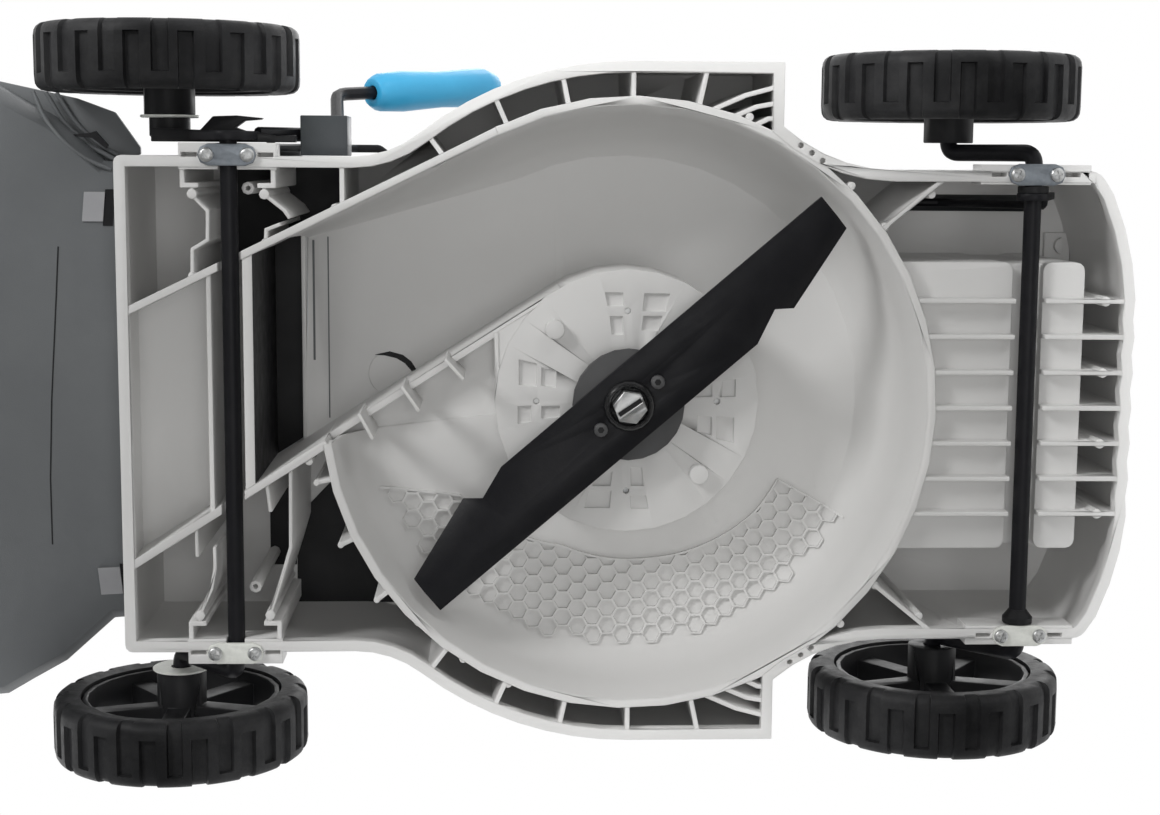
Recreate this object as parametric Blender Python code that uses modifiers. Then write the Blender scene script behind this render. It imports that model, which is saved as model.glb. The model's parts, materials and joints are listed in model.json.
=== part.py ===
# Cordless rotary lawn mower with a moulded deck, a grass collector and a folding handle.
# Metres, +X forward, +Y to the mower's left, +Z up, standing on the ground at its lowest cut.
# Everything is laid out from the blade spindle, and the whole machine is moved at the end
# so that its origin is on the ground in the middle of its outline.

import math

import bmesh
import bpy
from mathutils import Matrix, Vector

MM = 0.001

# Clearances
GAP = 0.3 * MM               # between pieces that touch
RUNNING = 0.4 * MM           # round a turning shaft
STAGGER = 0.25 * MM          # edges of walls that cross end at slightly different heights

# Deck
RIM_HEIGHT = 25 * MM         # ground to the deck's lower rim at the lowest cut
DECK_HEIGHT = 112 * MM       # rim to the top of the deck
DECK_TOP = RIM_HEIGHT + DECK_HEIGHT
DECK_REAR = -283 * MM
DECK_FRONT = 284 * MM
REAR_HALF_WIDTH = 138.5 * MM
FRONT_HALF_WIDTH = 133 * MM
WING_RADIUS = 191.5 * MM     # outer edge of the wings, round the spindle
WING_FRONT = 83 * MM         # where the wings are cut off square
REAR_SWEEP = 60 * MM         # radius from the side into a wing
FRONT_SWEEP = 95 * MM        # radius from a wing into the front
FRONT_BOW = 170 * MM         # radius of the front's corners
FRONT_FLAT = 50 * MM         # half-length of the straight front
SKIRT_WALL = 3 * MM
RIM_WIDTH = 6.2 * MM
RIM_DEPTH = 9 * MM
TOP_WALL = 2.6 * MM
TOP_ROUNDING = 3.6 * MM
SCALLOP_PITCH = 20.2 * MM
SCALLOP_DEPTH = 1.2 * MM
FLUTE_POINTS = 10            # to each side of the middle, four to a flute
WING_NOTCH = 23.5 * MM       # the wings' front edges reach this far out from the front side
REAR_CORNER = 4 * MM
FRONT_CORNER = 9 * MM
CORNER_BACK = 28.5 * MM      # the front corners' centres lie this far back

# Cutting chamber
CHAMBER_RADIUS = 168 * MM
CHAMBER_WALL = 3 * MM
RING_RIM = 4.6 * MM
CEILING_RADIUS = 141 * MM
CEILING_LOW = 44 * MM        # rim to the ceiling behind the tongue
CEILING_HIGH = DECK_HEIGHT - 20 * MM       # the ceiling at the chute
WALL_KNEE = 28 * MM          # height where the chamber wall starts to lean in
COLLAR_RADIUS = 151 * MM     # upright wall that carries the ceiling from the deck's top
WELL_RADIUS = 76 * MM        # motor well
MOTOR_PLATE = 30 * MM        # rim to the motor plate
PLATE_WALL = 3 * MM
PEG_RADIUS = 5.6 * MM
PEG_PLACE = 59 * MM
BEARING_HOLE = 15 * MM
PLATE_SCREW = 52 * MM        # the motor's four screws, from the spindle
PLATE_SCREW_BORE = 1.9 * MM
PLATE_RECESS = 1.8 * MM
PLATE_POCKETS = ((52, 62, 8.5, 24), (41, 49, 8, 19.5), (55, 62.5, -11.7, -2.9), (38.5, 49, -9, -2.9))
RIM_START = 0.5 * MM         # the chamber wall starts just inside the rim
WALL_PROUD = 0.6 * MM
RING_STEPS = 32
CHUTE_STEPS = 3
PLATE_CORNER = -75 * MM      # the motor plate reaches back to here along the guide wall

# Chute
UPPER_ANGLE = math.radians(26.1)
GUIDE_ANGLE = math.radians(32.4)
GUIDE_TANGENT = 73.7 * MM    # the guide wall touches this circle round the spindle
CHUTE_WALL = 4.2 * MM
CROSS_WALL_REAR = -214.5 * MM
CROSS_WALL = 5.5 * MM
DUCT_FLOOR = 46 * MM
DUCT_FLOOR_WALL = 3 * MM
CHUTE_STEP = -190 * MM       # the ceiling steps up into the duct here
DUCT_TOP = DECK_HEIGHT - 6 * MM
DUCT_RIB = -233 * MM

# Ribs
RIB = 2.6 * MM
WEB = 2 * MM                 # the thinner webs beside the rear axle
POST_RADIUS = 2.9 * MM
BUMP_RADIUS = 2.4 * MM
TUBE_RADIUS = 3.6 * MM       # screw tubes beside the rear axle
TUBE_BORE = 1.5 * MM
TUBE_START = 12 * MM
SCREW_TUBES = ((-212 * MM, -120.8 * MM), (-211.4 * MM, 103.8 * MM))
WING_RIB_ANGLES = (77.8, 90, 102, 113.9, 126.8)
FRONT_RIBS = 7
WING_FINS = (((43 * MM, 165 * MM), (81 * MM, 178.5 * MM)), ((55 * MM, 161.5 * MM), (81 * MM, 169.5 * MM)),
             ((67 * MM, 157 * MM), (82 * MM, 161 * MM)))
DIAGONAL_RIB = ((138 * MM, 99.5 * MM), (177 * MM, 131.5 * MM))
SIDE_RIB = -159.5 * MM
REAR_PROUD = 7 * MM          # the rear clamp seats stand this far out of the sides
FRONT_PROUD = 3.5 * MM
SEAT_DEPTH = 7.5 * MM
SEAT_HEIGHT = 20 * MM
SEAT_SLOT = (16.4 * MM, 25 * MM, 2.4 * MM)       # start and end from the axle, and width
HOOK_OUT = 24.7 * MM         # hooked walls behind the rear seats, from the axle
HOOK_IN = 16 * MM
HOOK_DEPTH = 122.4 * MM
POST_PLACE = (19.6 * MM, 117.7 * MM)
RIGHT_WEBS = (((-241.1, -117), (-236.6, -112.3), (-232.8, -108.6), (-233.1, -92.6), (-241.5, -87.5),
               (-241.7, -73.1)),
              ((-201.9, -117.5), (-191.2, -109.1), (-188.2, -104.7)),
              ((-193.2, -101.5), (-201.1, -98.4), (-201.5, -91.5)))
LEFT_WEBS = (((-241.1, 117), (-234.4, 102.4), (-232.3, 90.6), (-232.4, 78.8)),
             ((-201.9, 117), (-195.1, 96), (-190, 78.9), (-189.6, 35)),
             ((-242.3, 68), (-242.1, 84.3)), ((-202.9, 43), (-200.9, 58.8)))
RING_STUBS = ((-175.2, 42.4), (-162.1, 77.7), (-142.2, 109.3))       # tips of the short ribs on the ring
RING_BUMPS = ((64, -161.5), (121.4, -124.2), (121.4, 124.2), (-68.2, 158.3), (-93.6, 143.6), (-118.4, 122),
              (140.5, -101.6), (140.5, 101.6), (-163.5, -110.5), (-179.2, 30.1), (-241.7, -73.1), (-201.5, -91.5))
RIB_BUMPS = ((166.4, -119.8), (166.4, 119.8))
BUMPER_POST = 267 * MM
DRAIN_HOLES = ((104.9, 137.9), (98.9, 142.1), (92.7, 146.2))         # between the ring and the front sweep
DRAIN_RADIUS = 1.75 * MM

# Battery tray
TRAY_HALF_WIDTH = 82 * MM
TRAY_WALL = 3 * MM
TRAY_BLOCKS = ((150 * MM, 216 * MM), (233 * MM, 257 * MM))
TRAY_BLOCK_BOTTOM = 9 * MM
TRAY_REAR = 178 * MM
TRAY_CORNER = 5 * MM
TRAY_CHANNEL = 18 * MM       # rim to the underside of the tray over the front axle

# Axles and wheels
AXLE_RADIUS = 4.8 * MM
AXLE_BEND = 5.4 * MM
AXLE_HEIGHT = 30.5 * MM
AXLE_COLLAR = (8.5 * MM, 4 * MM)                 # radius and length of the front axle's stop collars
GROOVE_ENDS = (105 * MM, 160 * MM)
REAR_AXLE = -221.5 * MM
FRONT_AXLE = 224.5 * MM
CRANK_BACK = 38.5 * MM
WHEEL_RADIUS = 73.5 * MM
REAR_ARM_PLACE = 151.5 * MM
FRONT_ARM_PLACE = 143 * MM
REAR_WHEEL_INNER = 173.6 * MM
FRONT_WHEEL_INNER = 161 * MM
WHEEL_WIDTH = 37 * MM
HUB_REACH = 12.5 * MM        # the hub stands this far in from the tyre
TYRE_DEPTH = 16 * MM
TREAD_BLOCKS = 16
TREAD_DEPTH = 3 * MM
SPOKES = 5
HUB_RADIUS = 14.5 * MM
CLAMP_SCREWS = 22 * MM
REAR_CLAMP = 139 * MM
FRONT_CLAMP = 131 * MM

WHEEL_PLACES = (("rear_left", REAR_AXLE, 1, REAR_WHEEL_INNER), ("rear_right", REAR_AXLE, -1, REAR_WHEEL_INNER),
                ("front_left", FRONT_AXLE, 1, FRONT_WHEEL_INNER), ("front_right", FRONT_AXLE, -1, FRONT_WHEEL_INNER))
TYRE_SHOULDER = 6 * MM
RIM_WALL = 3 * MM
HUB_OUTER = 26 * MM          # tyre's inner face to the hub's outer end
STUB_PROUD = 3 * MM
SPOKE_WIDTH = 13 * MM
CLAMP_LENGTH = 32 * MM
CLAMP_WIDTH = 12 * MM
CLAMP_THICKNESS = 2 * MM
CLAMP_SCREW = 1.9 * MM

# Height adjustment
LEVER_PLATE_IN = 147 * MM
LEVER_PLATE_OUT = 152 * MM
LEVER_PLACE = 150.5 * MM
LEVER_ANGLE = 44             # above the ground, at the lowest cut
LEVER_ELBOW = 77 * MM
LEVER_ROD = 4 * MM
LEVER_BEND = 25 * MM          # behind the grip, where the rod turns down
GRIP_START = (-153 * MM, -177 * MM, 155 * MM)
GRIP_END = (-76 * MM, -184 * MM, 230 * MM)
GRIP_RADIUS = 12.5 * MM
LINK_RADIUS = 45 * MM
LINK_ANGLE = 66
LINK_ROD = 2.5 * MM
LINK_BEND = 3.4 * MM
LINK_PLACE = 143.2 * MM
FRONT_LINK_PLACE = 120.7 * MM
LINK_ARM = 4 * MM
LEVER_GUIDE = (-184 * MM, -158 * MM, 48 * MM, 80 * MM)
LEVER_GUIDE_OUT = 161 * MM
GUIDE_WALL = 2.5 * MM
LINK_SLOT = (160 * MM, 252 * MM)

# Cutting head and motor
BLADE_TURN = -40.5           # the blade's resting direction
BLADE_REACH = 157.9 * MM
BLADE_HALF = 20.4 * MM
BLADE_LOW = RIM_HEIGHT + 12 * MM
BLADE_THICKNESS = 3 * MM
BLADE_NOTCH = 77.6 * MM
SAIL_CREASE = -6 * MM
SAIL_ROOT = 94 * MM
SAIL_TIP = 2.9 * MM
SAIL_START = 107 * MM
SAIL_HALF = 19.5 * MM
SAIL_END = 98.2 * MM
SAIL_NOTCH = 12.5 * MM
SAIL_SLOPE = 0.35
SPINDLE_RADIUS = 6 * MM
SPINDLE_END = RIM_HEIGHT + 5.4 * MM
SPINDLE_TOP = 128 * MM
CARRIER_RADIUS = 32 * MM
CARRIER_HEIGHT = 12 * MM
CARRIER_SCREWS = 21 * MM
SCREW_RADIUS = 2.3 * MM
SCREW_HEAD = 4 * MM
WASHER_RADIUS = 14.7 * MM
WASHER_THICKNESS = 1.6 * MM
WASHER_LIP = 2.8 * MM        # the washer's rim stands up round the nut
NUT_FLATS = 17 * MM
NUT_HEIGHT = 7.5 * MM
NUT_CAP = 3 * MM             # the nut is closed over the spindle's end
NUT_SLOT = (15 * MM, 2.6 * MM, 1.8 * MM)         # length, width and depth
NUT_SLOT_TURN = -34
MOTOR_RADIUS = 62 * MM
MOTOR_TOP = 138 * MM
CONTROLLER_SIZE = (84 * MM, 56 * MM, 20 * MM)

# Top cover, battery and key
COVER_WALL = 2.5 * MM
COVER_STATIONS = ((-168, 100, 12), (-150, 110, 40), (-110, 120, 72), (-60, 127, 92), (40, 127, 94),
                  (85, 124, 74), (125, 122, 50), (150, 122, 42), (250, 120, 38), (262, 112, 26), (268, 104, 12))
BATTERY_PLAY = 0.6 * MM
BATTERY_TOP = DECK_TOP + 34 * MM
LATCH_HALF = 16 * MM
LATCH_LENGTH = 14 * MM
LATCH_TRAVEL = 3 * MM
KEY_PLACE = (163 * MM, 40 * MM)
KEY_BLADE = (6 * MM, 20 * MM, 28 * MM)
KEY_SEAT = DECK_TOP + 43.5 * MM

# Rear flap and grass collector
FLAP_PIN = (-272 * MM, DECK_TOP + 7.5 * MM)
FLAP_HALF = 98 * MM
FLAP_LUG = 5 * MM
FLAP_LENGTH = 100 * MM
FLAP_SLOPE = 11
PIN_RADIUS = 2.5 * MM
NECK_FRONT = DECK_REAR - GAP
COLLECTOR_WALL = 2.5 * MM
COLLECTOR_SPLIT = 192 * MM
COLLECTOR_TOP = 332 * MM
COLLECTOR_STATIONS = ((-283.3, 134, 66, 134), (-302, 135, 64, 137.5), (-330, 160, 61, 144), (-350, 171, 59, 149),
                      (-364, 179, 57, 153), (-388, 181, 56, 166), (-412, 182, 56, 236), (-455, 182, 58, 306),
                      (-505, 182, 64, 332), (-625, 180, 84, 332), (-680, 170, 108, 318), (-705, 152, 130, 288))
PANEL_HALF = 90 * MM         # the flat panel under the collector
PANEL_SLOPE = 17 * MM
FILL_FLAP = (-560 * MM, -510 * MM, 45 * MM)
CARRY_HANDLE = (-575 * MM, -620 * MM)
HOOK_PLACE = (112 * MM, 124 * MM)

# Handle
HANDLE_PIVOT = (-205 * MM, DECK_TOP + 23 * MM)
HANDLE_ANGLE = 128
HANDLE_TUBE = 11 * MM
LEG_PLACE = 118 * MM
LEG_LENGTH = 620 * MM
BRACKET_WALL = 3 * MM
BOLT_RADIUS = 4 * MM
PIVOT_BORE = 4.8 * MM        # clears the bolt's corners as a tube turns on it
BAR_PLACE = LEG_PLACE + 2 * HANDLE_TUBE + 2 * MM
BAR_HALF = 172 * MM
BAR_LENGTH = 480 * MM
BAR_BEND = 40 * MM
SLEEVE = 4 * MM
BOX_START = 350 * MM
BOX_END = 430 * MM
BUTTON_RADIUS = 9 * MM
BUTTON_TRAVEL = 4 * MM
BAIL_START = 396 * MM
BAIL_RISE = 21 * MM
BAIL_LENGTH = 92 * MM
BAIL_REST = 30
BAIL_WIRE = 3 * MM
RELEASE_LENGTH = 62 * MM
RELEASE_CAM = 6 * MM
RELEASE_HALF = 8 * MM


def material(name, colour, roughness, metallic=0.0):
    mat = bpy.data.materials.new(name)
    mat.use_nodes = True
    mat.diffuse_color = (*colour, 1)
    shader = mat.node_tree.nodes["Principled BSDF"]
    shader.inputs["Base Color"].default_value = (*colour, 1)
    shader.inputs["Roughness"].default_value = roughness
    shader.inputs["Metallic"].default_value = metallic
    return mat


def clear_scene():
    for old in list(bpy.data.objects):
        bpy.data.objects.remove(old, do_unlink=True)
    for name in ("cordless_lawn_mower", "cutters"):
        collection = bpy.data.collections.new(name)
        bpy.context.scene.collection.children.link(collection)


def add(name, data, collection="cordless_lawn_mower"):
    piece = bpy.data.objects.new(name, data)
    bpy.data.collections[collection].objects.link(piece)
    return piece


def finish_mesh(bm, name, smooth=True):
    mesh = bpy.data.meshes.new(name)
    bm.to_mesh(mesh)
    bm.free()
    if smooth:
        mesh.shade_smooth()
        mesh.set_sharp_from_angle(angle=math.radians(35))
    return mesh


# Plane outlines

def arc(centre, radius, start, end, steps):
    points = []
    for i in range(steps + 1):
        angle = math.radians(start + (end - start) * i / steps)
        points.append((centre[0] + radius * math.cos(angle), centre[1] + radius * math.sin(angle)))
    return points


def offset(points, distance, closed=True):
    # moves an outline to its left by the distance, keeping the walls parallel
    moved = []
    count = len(points)
    for i, point in enumerate(points):
        here = Vector(point)
        before = Vector(points[i - 1]) if closed or i > 0 else None
        after = Vector(points[(i + 1) % count]) if closed or i < count - 1 else None
        normals = []
        for a, b in ((before, here), (here, after)):
            if a is not None and b is not None and (b - a).length > 1e-9:
                run = (b - a).normalized()
                normals.append(Vector((-run.y, run.x)))
        bisector = sum(normals, Vector((0, 0))).normalized()
        mitre = distance / max(bisector.dot(normals[0]), 0.35)
        moved.append(tuple(here + bisector * mitre))
    return moved


def ribbon(path, width):
    return offset(path, width / 2, False) + offset(path, -width / 2, False)[::-1]


def prism(name, outline, low, high, collection="cutters"):
    # a flat outline raised from low to high
    bm = bmesh.new()
    face = bm.faces.new([bm.verts.new((x, y, low)) for x, y in outline])
    raised = bmesh.ops.extrude_face_region(bm, geom=[face])["geom"]
    lifted = [v for v in raised if isinstance(v, bmesh.types.BMVert)]
    bmesh.ops.translate(bm, verts=lifted, vec=(0, 0, high - low))
    bmesh.ops.recalc_face_normals(bm, faces=bm.faces)
    return add(name, finish_mesh(bm, name), collection)


def loft(name, rings, collection="cutters", closed=True):
    # skins a stack of rings with equal counts of points, with a cap at each end
    bm = bmesh.new()
    rows = [[bm.verts.new(point) for point in ring] for ring in rings]
    count = len(rows[0])
    for below, above in zip(rows, rows[1:]):
        for i in range(count if closed else count - 1):
            j = (i + 1) % count
            bm.faces.new((below[i], below[j], above[j], above[i]))
    if closed:
        bm.faces.new(rows[0])
        bm.faces.new(rows[-1])
    bmesh.ops.recalc_face_normals(bm, faces=bm.faces)
    return add(name, finish_mesh(bm, name), collection)


def wall(name, path, width, low, high):
    return prism(name, ribbon(path, width), low, high)


def box(name, low, high, collection="cutters"):
    bm = bmesh.new()
    bmesh.ops.create_cube(bm, size=1)
    size = Vector(high) - Vector(low)
    bmesh.ops.scale(bm, verts=bm.verts, vec=size)
    bmesh.ops.translate(bm, verts=bm.verts, vec=(Vector(low) + Vector(high)) / 2)
    return add(name, finish_mesh(bm, name, False), collection)


def rod(name, start, end, radius, sides=24, collection="cutters", end_radius=None):
    # a straight cylinder or cone between two points
    bm = bmesh.new()
    axis = Vector(end) - Vector(start)
    turn = axis.to_track_quat("Z", "Y").to_matrix().to_4x4()
    place = Matrix.Translation((Vector(start) + Vector(end)) / 2) @ turn
    tip = radius if end_radius is None else end_radius
    bmesh.ops.create_cone(bm, cap_ends=True, segments=sides, radius1=radius, radius2=tip,
                          depth=axis.length, matrix=place)
    return add(name, finish_mesh(bm, name), collection)


def turned(name, profile, steps=48, closed=False, collection="cutters"):
    # a profile of (radius, height) turned about Z
    bm = bmesh.new()
    verts = [bm.verts.new((r, 0, z)) for r, z in profile]
    for a, b in zip(verts, verts[1:]):
        bm.edges.new((a, b))
    if closed:
        bm.edges.new((verts[-1], verts[0]))
    piece = add(name, finish_mesh(bm, name, False), collection)
    screw = piece.modifiers.new("Turn", "SCREW")
    screw.steps = steps
    screw.render_steps = steps
    screw.use_merge_vertices = True
    screw.merge_threshold = 0.00001
    screw.use_normal_calculate = True
    screw.use_smooth_shade = True
    return settle(piece)


def tube(name, points, radius, resolution=2, collection="cutters"):
    # a bent round bar along a list of points
    curve = bpy.data.curves.new(name, "CURVE")
    curve.dimensions = "3D"
    curve.bevel_depth = radius
    curve.bevel_resolution = resolution
    curve.use_fill_caps = True
    spline = curve.splines.new("POLY")
    spline.points.add(len(points) - 1)
    for point, place in zip(spline.points, points):
        point.co = (*place, 1)
    piece = add(name, curve, collection)
    return settle(piece)


def rounded_path(points, radius, steps=5):
    # straight runs between the points, with each corner bent to the radius
    path = [Vector(points[0])]
    for before, corner, after in zip(points, points[1:], points[2:]):
        corner = Vector(corner)
        to_before = (Vector(before) - corner).normalized()
        to_after = (Vector(after) - corner).normalized()
        half = to_before.angle(to_after) / 2
        reach = radius / math.tan(half)
        centre = corner + (to_before + to_after).normalized() * (radius / math.sin(half))
        start = (corner + to_before * reach - centre).normalized()
        end = (corner + to_after * reach - centre).normalized()
        for i in range(steps + 1):
            path.append(centre + start.slerp(end, i / steps) * radius)
    path.append(Vector(points[-1]))
    return path


def settle(piece):
    # turns a curve or a piece with modifiers into a plain mesh with welded seams
    graph = bpy.context.evaluated_depsgraph_get()
    graph.update()
    mesh = bpy.data.meshes.new_from_object(piece.evaluated_get(graph))
    bm = bmesh.new()
    bm.from_mesh(mesh)
    bmesh.ops.remove_doubles(bm, verts=bm.verts, dist=0.000001)
    bmesh.ops.recalc_face_normals(bm, faces=bm.faces)
    bm.to_mesh(mesh)
    bm.free()
    mesh.shade_smooth()
    mesh.set_sharp_from_angle(angle=math.radians(35))
    name = piece.name
    collection = piece.users_collection[0]
    place = piece.matrix_world.copy()
    bpy.data.objects.remove(piece)
    solid = bpy.data.objects.new(name, mesh)
    collection.objects.link(solid)
    solid.matrix_world = place
    return solid


def combine(piece, others, operation):
    # one exact Boolean with every other piece, which is then removed
    group = bpy.data.collections.new("operands")
    bpy.context.scene.collection.children.link(group)
    for other in others:
        group.objects.link(other)
    modifier = piece.modifiers.new(operation.title(), "BOOLEAN")
    modifier.operation = operation
    modifier.operand_type = "COLLECTION"
    modifier.collection = group
    modifier.solver = "EXACT"
    solid = settle(piece)
    for other in others:
        bpy.data.objects.remove(other)
    bpy.data.collections.remove(group)
    return solid


def join(piece, *others):
    return combine(piece, others, "UNION")


def cut(piece, *others):
    return combine(piece, others, "DIFFERENCE")


def keep(piece, mat, parent=None):
    # a finished piece goes into the mower's collection with its material
    collection = bpy.data.collections["cordless_lawn_mower"]
    for old in piece.users_collection:
        old.objects.unlink(piece)
    collection.objects.link(piece)
    piece.data.materials.clear()
    piece.data.materials.append(mat)
    if parent:
        hang(piece, parent)
    return piece


def hang(piece, parent):
    # parents a piece without moving it
    bpy.context.view_layer.update()
    place = piece.matrix_world.copy()
    piece.parent = parent
    piece.matrix_parent_inverse = Matrix.Identity(4)
    piece.matrix_basis = parent.matrix_world.inverted() @ place


def pivot(name, place, parent=None):
    mark = add(name, None)
    mark.empty_display_size = 0.03
    mark.location = place
    bpy.context.view_layer.update()
    if parent:
        hang(mark, parent)
        bpy.context.view_layer.update()
    return mark


def polar(radius, degrees):
    angle = math.radians(degrees)
    return (radius * math.cos(angle), radius * math.sin(angle))


# Deck layout

UPPER_RUN = Vector((math.cos(UPPER_ANGLE), -math.sin(UPPER_ANGLE)))
GUIDE_RUN = Vector((math.cos(GUIDE_ANGLE), -math.sin(GUIDE_ANGLE)))
RING_LINE = CHAMBER_RADIUS + RING_RIM / 2
UPPER_TOUCH = Vector((-math.sin(UPPER_ANGLE), -math.cos(UPPER_ANGLE))) * RING_LINE
GUIDE_TOUCH = Vector((-math.sin(GUIDE_ANGLE), -math.cos(GUIDE_ANGLE))) * GUIDE_TANGENT
TONGUE = GUIDE_TOUCH - GUIDE_RUN * math.sqrt(RING_LINE ** 2 - GUIDE_TANGENT ** 2)
TONGUE_ANGLE = math.degrees(math.atan2(TONGUE.y, TONGUE.x))
GUIDE_ANGLE_END = math.degrees(math.atan2(GUIDE_TOUCH.y, GUIDE_TOUCH.x))
UPPER_ANGLE_END = math.degrees(math.atan2(UPPER_TOUCH.y, UPPER_TOUCH.x))


def on_upper_wall(x):
    return tuple(UPPER_TOUCH + UPPER_RUN * ((x - UPPER_TOUCH.x) / UPPER_RUN.x))


def on_guide_wall(x):
    return tuple(GUIDE_TOUCH + GUIDE_RUN * ((x - GUIDE_TOUCH.x) / GUIDE_RUN.x))


def half_outline(inset):
    # the deck's left half in plan, from the rear to the front, with every arc's centre kept
    reach = WING_RADIUS + REAR_SWEEP
    sweep_y = REAR_HALF_WIDTH + REAR_SWEEP
    sweep_x = -math.sqrt(reach ** 2 - sweep_y ** 2)
    touch = math.degrees(math.atan2(sweep_y, sweep_x))
    notch = FRONT_SWEEP - WING_NOTCH
    front_x = WING_FRONT + math.sqrt(FRONT_SWEEP ** 2 - notch ** 2)
    notch_angle = math.degrees(math.acos((WING_FRONT - inset - front_x) / (FRONT_SWEEP + inset)))
    least = 0.8 * MM
    points = arc((DECK_REAR + REAR_CORNER, REAR_HALF_WIDTH - REAR_CORNER),
                 max(REAR_CORNER - inset, least), 180, 90, 3)
    if inset > REAR_CORNER:
        points = [(DECK_REAR + inset, REAR_HALF_WIDTH - inset)]
    points += arc((sweep_x, sweep_y), REAR_SWEEP + inset, -90, touch - 180, 4)
    points += arc((0, 0), WING_RADIUS - inset, touch, 90, 8)[1:]
    points += [(WING_FRONT - inset, WING_RADIUS - inset)]
    points += arc((front_x, FRONT_HALF_WIDTH + FRONT_SWEEP), FRONT_SWEEP + inset, -notch_angle, -90, 5)
    points += arc((DECK_FRONT - CORNER_BACK, FRONT_HALF_WIDTH - FRONT_CORNER),
                  max(FRONT_CORNER - inset, least), 90, 36, 3)
    points += arc((DECK_FRONT - FRONT_BOW, FRONT_FLAT), FRONT_BOW - inset, 24.5, 4, 3)
    return points


def scalloped_front(inset):
    # the bumper's small upright flutes across the front, left to right
    points = []
    for i in range(-FLUTE_POINTS, FLUTE_POINTS + 1):
        y = -i * SCALLOP_PITCH / 4
        dip = SCALLOP_DEPTH / 2 * (1 - math.cos(2 * math.pi * y / SCALLOP_PITCH))
        points.append((DECK_FRONT - inset - dip, y))
    return points


def deck_outline(inset=0.0):
    left = half_outline(inset)
    right = [(x, -y) for x, y in left][::-1]
    return (left + scalloped_front(inset) + right)[::-1]


def ring(outline, height):
    return [(x, y, height) for x, y in outline]


# Deck

def ceiling_height(turn):
    # the volute's ceiling climbs steadily from the tongue to the chute
    return CEILING_LOW + (CEILING_HIGH - CEILING_LOW) * turn


def leaning_wall(place, inward, height, lean):
    # the chamber wall's section at one station: upright at the rim, leaning in to the ceiling
    rise = height - WALL_KNEE
    steps = ((0, RIM_START), (0.13, WALL_KNEE), (0.35, WALL_KNEE + 0.5 * rise),
             (0.64, WALL_KNEE + 0.83 * rise), (1, height))
    points = []
    for share, level in steps:
        flat = Vector(place) + inward * (WALL_PROUD + share * lean)
        points.append((flat.x, flat.y, level))
    return points


def chamber_stations():
    # sections round the ring, then along the chute's two walls
    stations = []
    lean = CHAMBER_RADIUS - CEILING_RADIUS
    for i in range(RING_STEPS + 1):
        turn = i / RING_STEPS
        angle = TONGUE_ANGLE + (UPPER_ANGLE_END - TONGUE_ANGLE) * turn
        inner_angle = TONGUE_ANGLE + (GUIDE_ANGLE_END - TONGUE_ANGLE) * turn
        outer = Vector(polar(CHAMBER_RADIUS, angle))
        inner = polar(WELL_RADIUS - PLATE_WALL / 2, inner_angle)
        section = leaning_wall(outer, -outer.normalized(), ceiling_height(turn), lean)
        stations.append(section + [(*inner, ceiling_height(turn))])
    inward = Vector((math.sin(UPPER_ANGLE), math.cos(UPPER_ANGLE)))
    for i in range(1, CHUTE_STEPS + 1):
        share = i / CHUTE_STEPS
        outer_x = UPPER_TOUCH.x + (CHUTE_STEP - UPPER_TOUCH.x) * share
        inner_x = GUIDE_TOUCH.x + (CHUTE_STEP - GUIDE_TOUCH.x) * share
        outer = Vector(on_upper_wall(outer_x)) + inward * RING_RIM / 2
        fade = lean * (1 - 0.85 * share)
        section = leaning_wall(outer, inward, CEILING_HIGH, fade)
        stations.append(section + [(*on_guide_wall(inner_x), CEILING_HIGH)])
    return stations


def thick_sheet(name, rows, thickness):
    # an open sheet through rows of points, thickened on its upper side
    bm = bmesh.new()
    grid = [[bm.verts.new(point) for point in row] for row in rows]
    for near, far in zip(grid, grid[1:]):
        for i in range(len(near) - 1):
            bm.faces.new((near[i], near[i + 1], far[i + 1], far[i]))
    return thickened(name, bm, thickness)


def thickened(name, bm, thickness):
    # gives an open sheet its wall, on its upper side
    bmesh.ops.recalc_face_normals(bm, faces=bm.faces)
    highest = max(bm.faces, key=lambda face: abs(face.normal.z))
    if highest.normal.z < 0:
        bmesh.ops.reverse_faces(bm, faces=bm.faces)
    piece = add(name, finish_mesh(bm, name), "cutters")
    solidify = piece.modifiers.new("Wall", "SOLIDIFY")
    solidify.thickness = thickness
    solidify.offset = 1
    solidify.use_even_offset = True
    solidify.use_quality_normals = True
    return settle(piece)


def collar():
    # the upright wall between the volute's ceiling and the deck's top
    rows = []
    share = (CHAMBER_RADIUS - COLLAR_RADIUS) / (CHAMBER_RADIUS - CEILING_RADIUS)
    end = math.degrees(math.acos(GUIDE_TANGENT / COLLAR_RADIUS))
    first = GUIDE_ANGLE_END - end + 360
    for i in range(RING_STEPS + 1):
        turn = i / RING_STEPS
        angle = first + (UPPER_ANGLE_END - first) * turn
        climb = max((TONGUE_ANGLE - angle) / (TONGUE_ANGLE - UPPER_ANGLE_END), 0)
        rise = ceiling_height(climb) - WALL_KNEE
        low = WALL_KNEE + rise * (0.83 + 0.17 * (share - 0.64) / 0.36) + CHAMBER_WALL / 2
        flat = polar(COLLAR_RADIUS, angle)
        rows.append([(*flat, low), (*flat, DECK_HEIGHT - TOP_WALL / 2 - 3 * STAGGER)])
    return thick_sheet("collar", rows, RIB)


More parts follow.
